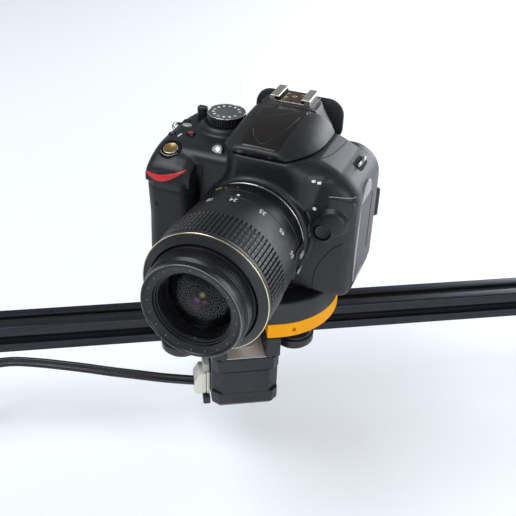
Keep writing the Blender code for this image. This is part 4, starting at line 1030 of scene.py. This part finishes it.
def make_top_controls(tree):
    """Mode dial, shutter button with the power lever round it, buttons, thumb lever and lens release."""
    def knurl(i, r, z):
        return r - (0.45 if r > 11.4 and 81.2 < z < 89.3 and i % 5 > 2 else 0)

    profile = [(0, 80.3), (11.6, 80.3), (12, 80.8), (12, 81.3), (12, 89.2), (11.9, 89.7), (11.5, 90.0),
               (10.9, 90.05), (0, 90.05)]
    dial = frame_at(*MODE_DIAL_AT, 0, CAMERA)
    piece("mode_dial_drum", turned(profile, 240, knurl), dial, "control_black", "mode_dial", "mode_dial")
    piece("mode_dial_face", turned([(0, 89.9), (10.9, 89.9), (10.8, 90.12), (0, 90.15)], 96), dial, "dial_top",
          "mode_dial", slot="control_black")
    piece("mode_dial_rim", turned(hoop(11.1, 11.75, 89.6, 90.2, 0.15), 96), dial, "bright_edge", "mode_dial",
          slot="control_black", smooth=50)
    marks = []
    for k in range(13):
        shape = (prism(round_rectangle(-0.9, 0.9, -0.65, 0.65, 0.25, 3), 90.1, 90.2) if k % 3 else
                 turned(hoop(0.45, 0.85, 90.1, 90.2, 0.02), 16))
        marks.append(moved(shape, turned_by(20 + k * 26, "Z") @ Matrix.Translation((8.1, 0, 0))))
    piece("mode_dial_marks", joined(marks), dial, "mark_white", "mode_dial", slot="control_black", smooth=0)

    shutter = frame_at(*SHUTTER_AT, CAMERA) @ TILT
    well = turned([(6.75, -3.5), (6.85, -3.5), (7.6, 0.2), (7.3, 0.75), (6.8, 0.6)], 64)
    piece("shutter_well", well, shutter, "control_black", "pan_head", slot="control_black")

    def grip(i, r, z):
        return r + (1.3 * max(0.0, cos(TAU * i / 96 - radians(205))) ** 24 if r > 6.2 and z > 0.9 else 0)

    lever = turned([(5.3, -0.9), (6.1, -0.9), (6.35, -0.6), (6.4, 1.1), (6.3, 1.5), (6.0, 1.7), (5.5, 1.7),
                    (5.3, 1.4)], 96, grip)
    piece("power_lever_ring", lever, shutter, "control_black", "power_lever", "power_lever")
    line = [(Vector((5.85 * cos(radians(a)), 5.85 * sin(radians(a)), 1.68)), Vector((0, 0, 1)))
            for a in range(-150, -20, 6)]
    piece("power_lever_line", ribbon(line, 0.35, 0.1), shutter, "mark_grey", "power_lever", slot="control_black")
    top = [(0, -1.8), (4.5, -1.8), (4.5, 1.7), (4.35, 2.1), (4.0, 2.3), (3.5, 2.2), (2.4, 1.85), (0, 1.7)]
    piece("shutter_button_cap", turned(top, 64), shutter, "button_champagne", "shutter_button", "shutter_button")
    piece("shutter_button_rim", turned(hoop(3.85, 4.52, 1.6, 2.3, 0.2), 64), shutter, "ring_champagne",
          "shutter_button", slot="button_champagne", smooth=50)
    button = frame_at(*RECORD_AT, CAMERA)
    piece("record_button_cap", turned([(0, -1), (2.7, -1), (2.7, 0.9), (2.4, 1.3), (1.9, 1.35), (1.7, 0.9), (0, 0.9)],
                                      40), button, "control_black", "record_button", "record_button")
    piece("record_button_dot", turned([(0, 0.8), (1.62, 0.8), (1.55, 1.1), (1.0, 1.28), (0, 1.34)], 40), button,
          "record_red", "record_button", slot="record_red")
    for name, x, y, rx, ry, mat in (("info_button", -59.0, 6.0, 3.1, 2.1, "clip_grey"),
                                    ("exposure_button", -63.2, -6.6, 2.7, 2.1, "control_black"),
                                    ("mode_button", -62.6, 13.4, 2.7, 1.9, "control_black")):
        cap = turned([(0, -1.2), (1, -1.2), (1, 0.5), (0.85, 0.9), (0, 1.0)], 40)
        for v in cap.verts:
            v.co.x, v.co.y = v.co.x * rx, v.co.y * ry
        trim(name, seated(tree, cap, (x, y, DECK_Z), (0, 0, -1), 1.5), mat, "control_black")
    dash = prism(round_rectangle(-2.3, 2.3, -0.5, 0.5, 0.3, 3), -0.4, 0.12)
    dash_at = seat(tree, (-57.4, -8.0, DECK_Z), (0, 0, -1), 1.2) @ Matrix.Rotation(1.5, 4, "Z")
    trim("index_dash", moved(dash, dash_at), "mark_white", "control_black")
    lever_block = prism(round_rectangle(-58, -51.4, 17.4, 21.9, 1.6, 5), 79, 88.4)
    trim("thumb_lever", lever_block, "control_black", edge=1.2, segments=3)
    release = turned([(0, -8), (5, -8), (5, 2.2), (4.7, 2.8), (4.1, 3.2), (2.8, 2.95), (0, 2.8)], 64)
    piece("lens_release_cap", release, frame_at(*RELEASE_AT, CAMERA, 90, "X"), "control_black", "lens_release",
          "lens_release")


def make_back_details(tree):
    """Command wheel, rear buttons, swivel screen, eyecup and viewfinder window."""
    wheel = turned([(0, -2.4), (6.1, -2.4), (6.5, -2.0), (6.5, 2.0), (6.1, 2.4), (0, 2.4)], 120,
                   lambda i, r, z: r - (0.5 if r > 6.2 and i % 6 > 3 else 0))
    piece("command_wheel", wheel, frame_at(*COMMAND_AT, CAMERA), "control_black", "command_dial", "command_dial")
    for k, (x, z, r) in enumerate(((-44.5, 52, 3.0), (-33, 44, 3.0), (-57, 16, 2.6), (-44, 16, 2.6))):
        cap = turned([(0, -1.4), (r, -1.4), (r, 0.6), (r - 0.3, 0.95), (0, 1.0)], 40)
        trim(f"rear_button_{k + 1}", seated(tree, cap, (x, 40, z), (0, -1, 0)), "control_black")
    pad = turned([(3.2, -1.2), (8.2, -1.2), (8.2, 0.9), (7.7, 1.3), (3.6, 0.9), (3.2, 0.5)], 72)
    middle = turned([(0, -1.2), (2.8, -1.2), (2.8, 0.7), (2.4, 1.1), (0, 1.1)], 40)
    for name, bm in (("rear_pad_ring", pad), ("rear_pad_centre", middle)):
        trim(name, seated(tree, bm, (-47, 40, 32), (0, -1, 0)), "control_black")
    place = frame_at(56, 37.9, 37, CAMERA)
    outline = round_rectangle(-80, -3.6, -27, 27, 3, 6)
    rim = round_rectangle(-79.2, -4.4, -26.2, 26.2, 2.6, 6)
    piece("screen_case", loft([(-3.2, rim), (-2.4, outline), (2.6, outline), (3.2, rim)], "y"), place, "body_black",
          "screen", "screen_panel", smooth=35)
    glass = prism(round_rectangle(-72, -9, -21, 22.5, 1.2, 4), 2.9, 3.45, "y")
    piece("screen_glass", glass, place, "screen_black", "screen", slot="glass", edge=0.2)
    arm = turned([(0, -9), (2.7, -9), (3, -8.7), (3, 8.7), (2.7, 9), (0, 9)], 40)
    pin = boss(drum(1.8, 2, 9), 24, (0, 0, 0), -90, "Y")
    piece("screen_hinge_arm", joined([arm, pin]), place, "control_black", "screen", "screen_arm")
    bands = [(43.3, 24, 72, 93.5, 8), (44.0, 27.6, 69.6, 95.6, 9.4), (44.8, 28.7, 68.6, 96.3, 10),
             (46.6, 28.9, 68.4, 96.5, 10), (47.6, 28.3, 69, 96, 9.6), (48, 27.2, 69.9, 95.2, 9),
             (48, 15.5, 74, 92, 6), (47.2, 12.5, 76, 90, 5), (44.4, 11, 77, 89, 4)]
    cup = loft([(y, round_rectangle(-half, half, low, high, radius, 8)) for y, half, low, high, radius in bands], "y")
    piece("eyecup_rubber", cup, CAMERA, "rubber", "pan_head", "eyecup", smooth=40)
    window = prism(round_rectangle(-9.5, 9.5, 78.4, 87.6, 2.5, 5), 44.2, 44.7, "y")
    trim("finder_window", window, "screen_black", "glass")


def make_lugs(tree):
    """Strap eyes, each a wire loop standing on a near-black patch of painted shade in place of a recess, and the cover
    over the ports.
    """
    for name, spot, ahead in (("left", (-66.4, 12, 74), (1, 0, -0.5)), ("right", (51.5, 8, 78), (-0.55, 0, -1))):
        place = seat(tree, spot, ahead, 1.2)
        # The near-black patch under each loop is painted shade in place of a recess; nothing is cut into the shell.
        recess = prism(round_rectangle(-7, 7, -3.4, 3.4, 2.6, 6), -1.5, 0.12)
        trim(f"strap_painted_shade_{name}", moved(recess, place), "seam")
        loop = [(4.8 * cos(radians(a)), 0, 4.4 * sin(radians(a)) - 0.6) for a in range(0, 181, 10)]
        loop = moved(sweep(loop, lambda i: circle(0.95, 12)), place)
        trim(f"strap_eye_{name}", loop, "steel", "steel")
    outline = [(-14, 8), (-15, 30), (-13, 56), (-9, 66), (-2, 70), (7, 69), (10.5, 58), (10.5, 30), (9, 8), (-2, 5)]
    ring = [(p.x, p.y) for p in smooth_path([(a, b, 0) for a, b in outline + outline[:1]], 6)[:-1]]
    trim("port_cover", prism(ring, 57.5, 59.0, "x"), "port_grey", smooth=40, edge=0.5)
    trim("port_cover_slot", prism(round_rectangle(12.6, 14.6, 18, 58, 0.9, 5), 58.4, 59.04, "x"), "seam")


# ---- flash head and shoe --------------------------------------------------------------
FLASH_AXIS = (22.0, 97.6)
# station, half width of the top, width at the skirt, height of the top
FLASH_STATIONS = [(-28, 13.5, 16.5, 90.0), (-22, 14.0, 21.5, 92.0), (-14, 14.8, 26.6, 94.2), (-6, 15.6, 29.3, 95.7),
                  (2, 16.4, 30.7, 96.7), (12, 17.1, 31.0, 97.3), (22, 17.5, 30.7, 97.5)]


def flash_size(y):
    """Sizes of the flash housing at a station, from the nearest two in the table."""
    for a, b in zip(FLASH_STATIONS, FLASH_STATIONS[1:]):
        if y <= b[0]:
            t = (y - a[0]) / (b[0] - a[0])
            return [p + (q - p) * t for p, q in zip(a[1:], b[1:])]


def flash_section(y, shrink):
    """Section of the flash housing at a station, smaller all round by shrink."""
    half, skirt, top = flash_size(y)
    half, skirt, top, low = half - shrink, skirt - shrink, top - shrink, 86.4 + shrink * 0.6
    left = -min(skirt, 23.6 - shrink)
    y0, z0 = FLASH_AXIS

    def flank(x_low, x_top):
        a, b = Vector((x_low, low + 0.8)), Vector((x_low + (x_top - x_low) * 0.3, top - 0.6))
        c = Vector((x_top * 0.86, top))
        return [(1 - t) ** 2 * a + 2 * t * (1 - t) * b + t * t * c for t in (i / 9 for i in range(10))]

    right, leftward = flank(skirt, half), flank(left, -half)[::-1]
    crown = [(half * 0.86 * k, top + 0.5 * (1 - k * k)) for k in (0.75, 0.5, 0.25, 0, -0.25, -0.5, -0.75)]
    points = [(left + 0.5, low), (skirt - 0.5, low), *right, *crown, *leftward]
    return (y - y0, [(x, z - z0) for x, z in points])


def make_flash():
    y0, z0 = FLASH_AXIS
    place = frame_at(0, y0, z0, CAMERA)
    stations = [(-28, 1.6), (-27.7, 0.8), (-27.1, 0.25), (-26.3, 0)] + [(y, 0) for y in range(-24, 19, 3)]
    stations += [(20, 0), (21.2, 0.3), (22, 1.0)]
    piece("flash_shell", loft([flash_section(y, s) for y, s in stations], "y"), place, "body_black", "flash_head",
          "flash_head", smooth=40)

    def panel(y, rise, narrow):
        half, _, top = flash_size(y)
        w = half * 0.86 - narrow
        points = [(w * k, top + 0.5 * (1 - k * k) + rise - (0.25 if abs(k) == 1 else 0)) for k in
                  (1, 0.93, 0.75, 0.5, 0.25, 0, -0.25, -0.5, -0.75, -0.93, -1)]
        return (y - y0, [(-w, top - 0.8 - z0), (w, top - 0.8 - z0)] + [(a, b - z0) for a, b in points])

    spans = [(y, 0.42, 0.4) for y in (-25, *range(-24, 17, 3), 17.6)]
    spans = [(-25.6, 0.1, 1.2)] + spans + [(18.2, 0.1, 1.0)]
    top = piece("flash_top_panel", loft([panel(*s) for s in spans], "y"), place, "flash_black", "flash_head",
                slot="flash_black", smooth=40)
    tree = skin(top, place)
    curves = (([(-9.5, -33), (-6.5, -39), (-2.0, -43.6), (1.4, -44.3), (5.5, -38), (9.2, -29.4), (12.2, -12)], 0.6),
              ([(-7.5, -22), (-2.9, -17.2), (3.6, -12), (9.6, -6.4)], 0.5))
    for k, (points, width) in enumerate(curves):
        path = dropped(tree, [(x, y, 10) for x, y in points], (0, 0, -1), 0.8)
        piece(f"flash_relief_{k + 1}", ribbon(path, width, 0.16), place, "panel_gloss", "flash_head",
              slot="flash_black", smooth=60)
    window = prism(round_rectangle(-12, 12, 87.3 - z0, 88.9 - z0, 0.5, 4), -50.2, -49.6, "y")
    piece("flash_window", window, place, "screen_black", "flash_head", slot="glass")
    rod = [(0, -16.5), (1.5, -16.5), (1.8, -16.1), (1.8, 16.1), (1.5, 16.5), (0, 16.5)]
    bar = boss(rod, 32, (0, 0.6, -1.6), 90, "Y")
    piece("flash_hinge_bar", bar, place, "control_black", "pan_head", slot="control_black")


def make_shoe():
    """Accessory shoe on the flash hinge block, with its springs and contacts."""
    low = 97.9                         # underside of the rails
    outline = [(-12.8, 0), (12.8, 0), (12.8, 3.4), (12.3, 3.9), (7.3, 3.9), (7.0, 3.6), (7.0, 2.9), (9.4, 2.9),
               (9.4, 1.0), (-9.4, 1.0), (-9.4, 2.9), (-7.0, 2.9), (-7.0, 3.6), (-7.3, 3.9), (-12.3, 3.9), (-12.8, 3.4)]
    piece("hot_shoe_rails", prism([(x, low + z) for x, z in outline], 25, 42.5, "y"), CAMERA, "shoe_steel", "pan_head",
          "hot_shoe", smooth=30, edge=0.15)
    floor_plate = prism(round_rectangle(-9.2, 9.2, 25.8, 42.2, 0.6, 3), low + 0.8, low + 1.15)
    springs = [prism(round_rectangle(a, b, 26.6, 41.8, 0.4, 3), low + 1.1, low + 2.5)
               for a, b in ((-9.1, -6.6), (6.6, 9.1))]
    trim("hot_shoe_floor", floor_plate, "shoe_dark", "shoe_steel")
    trim("hot_shoe_springs", joined(springs), "seam", "shoe_steel", edge=0.2)
    contacts = [boss([(0, 0), (r, 0), (r, 0.25), (r - 0.15, 0.35), (0, 0.35)], 24, (x, y, low + 1.1))
                for r, x, y in ((1.6, 0, 34), (1.0, -4.5, 37.5), (1.0, 4.5, 37.5), (1.0, -4.5, 31))]
    trim("hot_shoe_contacts", joined(contacts), "ring_champagne", "shoe_steel")
    trim("hot_shoe_foot", prism(round_rectangle(-14.5, 14.5, 23.6, 43, 1, 3), 96.2, low), "body_black", edge=0.4)


# ---- lens -----------------------------------------------------------------------------
def ring(name, profile, steps, mat, body, node=None, **rest):
    """Turned piece about the lens axis."""
    piece(name, turned(profile, steps), LENS, mat, body, node, **rest)


def make_lens():
    """Zoom lens: fixed barrel, zoom ring, extending tube, focus ring and glass."""
    barrel = [(24, 3.3), (31, 3.3), (32.4, 3.6), (33.0, 4.6), (34.3, 7.6), (34.6, 8.2), (34.6, 15.6), (34.35, 15.8),
              (34.35, 16.1), (34.6, 16.3), (34.6, 23.7), (34.3, 24), (32.5, 24), (32.5, 60), (30.6, 60), (30.6, 12),
              (24, 12)]
    ring("lens_rear_barrel", barrel, 160, "lens_black", "pan_head", "lens_barrel")
    ring("lens_mount_ring", hoop(31.2, 32.9, 3.0, 3.9, 0.2), 128, "bright_edge", "pan_head",
         slot="mount_steel", smooth=60)
    index = turned([(0, -0.2), (0.9, -0.2), (0.9, 0.1), (0, 0.12)], 20)
    piece("zoom_index_dot", wrapped(index, BARREL, 91.6, 21.4), LENS, "mark_white", "pan_head", slot="lens_black")
    bar = prism(round_rectangle(-4.2, 4.2, -0.55, 0.55, 0.2, 3), -0.2, 0.08)
    piece("lens_gold_mark", wrapped(bar, BARREL, 104, 13.0), LENS, "mark_gold", "pan_head", slot="lens_black")
    plate = prism(round_rectangle(-2.2, 2.2, -1.1, 1.1, 0.5, 4), -0.2, 0.1)
    piece("lens_gold_plate", wrapped(plate, BARREL, 118, 12.4), LENS, "mark_gold", "pan_head", slot="lens_black")
    # switch panel on the viewer's right of the barrel; the panel is a slightly lighter gloss black and its switch
    # knobs are drawn light grey, a painted highlight for the lit panel
    raised = wrapped(prism(round_rectangle(-9.5, 9.5, 9.2, 22.6, 1.6, 5), -1.2, 1.1), BARREL, -4, 0)
    piece("lens_switch_panel", raised, LENS, "panel_gloss", "pan_head", slot="lens_black", smooth=50, edge=0.4)
    for k, angle in enumerate((4, -13)):
        knob = prism(round_rectangle(-1.6, 1.6, -2.6, 2.6, 0.6, 4), 0.9, 2.0)
        piece(f"lens_switch_{k + 1}", wrapped(knob, BARREL, angle, 15.9), LENS, "mark_grey", "pan_head",
              slot="lens_black", edge=0.25)

    profile = [(32.8, 24.3), (34.6, 24.3), (34.9, 24.6), (35.2, 31.0), (35.35, 43.6), (35.95, 44.1)]
    for low, high in ((44.6, 48.35), (48.85, 52.25), (52.75, 56.15), (56.65, 60.05), (60.55, 64.2)):
        profile += [(36.0, low - 0.02), (36.25, low + 0.15), (36.25, high - 0.15), (36.0, high + 0.02)]
    profile += [(35.95, 64.6), (36.15, 65.0), (36.25, 67.9), (35.9, 68.6), (32.0, 71.0), (31.4, 71.2), (30.9, 70.9),
                (30.8, 70.4), (30.8, 60.4), (32.8, 60.4)]

    def rib(i, r, z):
        return 35.2 if r in (36.25, 36.0) and 44.5 < z < 64.4 and i % 6 > 3 else r

    piece("zoom_grip", turned(profile, 504, rib), LENS, "lens_rubber", "zoom_ring", "zoom_ring", smooth=30)
    # Bright champagne ring at the collar's outer edge is a painted highlight line.
    ring("zoom_painted_highlight_ring", hoop(35.6, 36.42, 67.85, 68.45, 0.2), 160, "ring_champagne", "zoom_ring",
         slot="lens_rubber", smooth=60)
    for text, angle in (("18", 115), ("24", 91.8), ("35", 63), ("45", 38.6), ("55", 15)):
        piece(f"zoom_scale_{text}", wrapped(glyphs(text, 4.4), 35.13, angle, 27.8), LENS, "mark_white", "zoom_ring",
              slot="lens_rubber", smooth=0)
    tube = [(22, 24), (30.2, 24), (30.2, 72.6), (30.0, 73), (27.4, 73), (27.4, 79.5), (20, 79.5), (20, 66), (22, 66)]
    ring("extending_tube", tube, 128, "lens_black", "inner_tube", "inner_tube")

    def fine(i, r, z):
        return r - (0.35 if 29.78 < r < 29.795 and i % 3 == 2 else 0)

    front = 86.5                       # foremost face of the focus ring
    profile = [(27.7, 73.3), (29.5, 73.3), (29.8, 73.6), (29.8, 74.2), (29.79, 74.3), (29.79, 80.4), (29.8, 80.6),
               (29.6, 81.2), (28.7, 82.2), (28.4, 82.6), (28.4, front - 0.5), (28.1, front), (26.9, front),
               (26.4, front - 0.7), (22.6, front - 1.9), (22.2, front - 3.1), (21.6, front - 3.2), (21.3, front - 4.4),
               (20.8, front - 4.5), (20.3, front - 5.6), (20.3, front - 6.5), (27.7, front - 6.5)]
    piece("focus_front_ring", turned(profile, 450, fine), LENS, "lens_black", "focus_ring", "focus_ring", smooth=30)
    # Light grey band at the front rim is a painted highlight along the edge.
    ring("focus_painted_highlight_edge", hoop(27.75, 28.3, front - 0.3, front, 0.12), 160, "mark_grey",
         "focus_ring", slot="lens_black", smooth=60)
    ticks = []
    for k in range(20):
        mark = prism(round_rectangle(-0.16, 0.16, -0.5, 0.5, 0.05, 2), front - 1.6, front - 1.02)
        ticks.append(moved(mark, turned_by(18 * k, "Z") @ Matrix.Translation((25.2, 0, 0)) @ turned_by(90, "Z")))
    piece("focus_ticks", joined(ticks), LENS, "mark_grey", "focus_ring", slot="lens_black", smooth=0)
    dome = [(0, 79), (3.5, 78.9), (7, 78.6), (10.5, 78.0), (14, 76.9), (17.5, 75.3), (19.6, 74.0), (19.6, 72.8),
            (17.4, 74.0), (14, 75.6), (10.5, 76.7), (7, 77.3), (3.5, 77.6), (0, 77.7)]
    ring("front_element", dome, 96, "glass", "inner_tube", "front_glass")
    # The inner groups carry painted glints in their base colour.
    disc = [(0, 66), (19.3, 66), (19.3, 71.2), (17.2, 72.4), (14, 73.8), (10.5, 74.9), (7, 75.5), (3.5, 75.8),
            (0, 75.9)]
    ring("inner_coated_group", disc, 96, "glass_violet_painted_glints", "inner_tube", slot="glass")
    disc = [(0, 60.2), (12, 60.2), (12, 65.9), (0, 65.9)]
    ring("inner_iris_group", disc, 48, "glass_green_painted_glint", "inner_tube", slot="glass")
    sleeve = [(19.62, 61), (19.9, 61), (19.9, 72.6), (19.0, 72.6), (19.4, 66)]
    ring("inner_sleeve", sleeve, 64, "baffle", "inner_tube", slot="lens_black")


# ---- assembly ---------------------------------------------------------------------------
make_view()
make_light()
make_materials()
make_floor()
make_cable()
make_rail()
make_end(-1, "left")
make_end(1, "right")
for make in (make_slide_drive, make_control_box, make_carriage, make_base, paint_hidden_nodes, make_body, make_flash,
             make_shoe, make_lens):
    make()
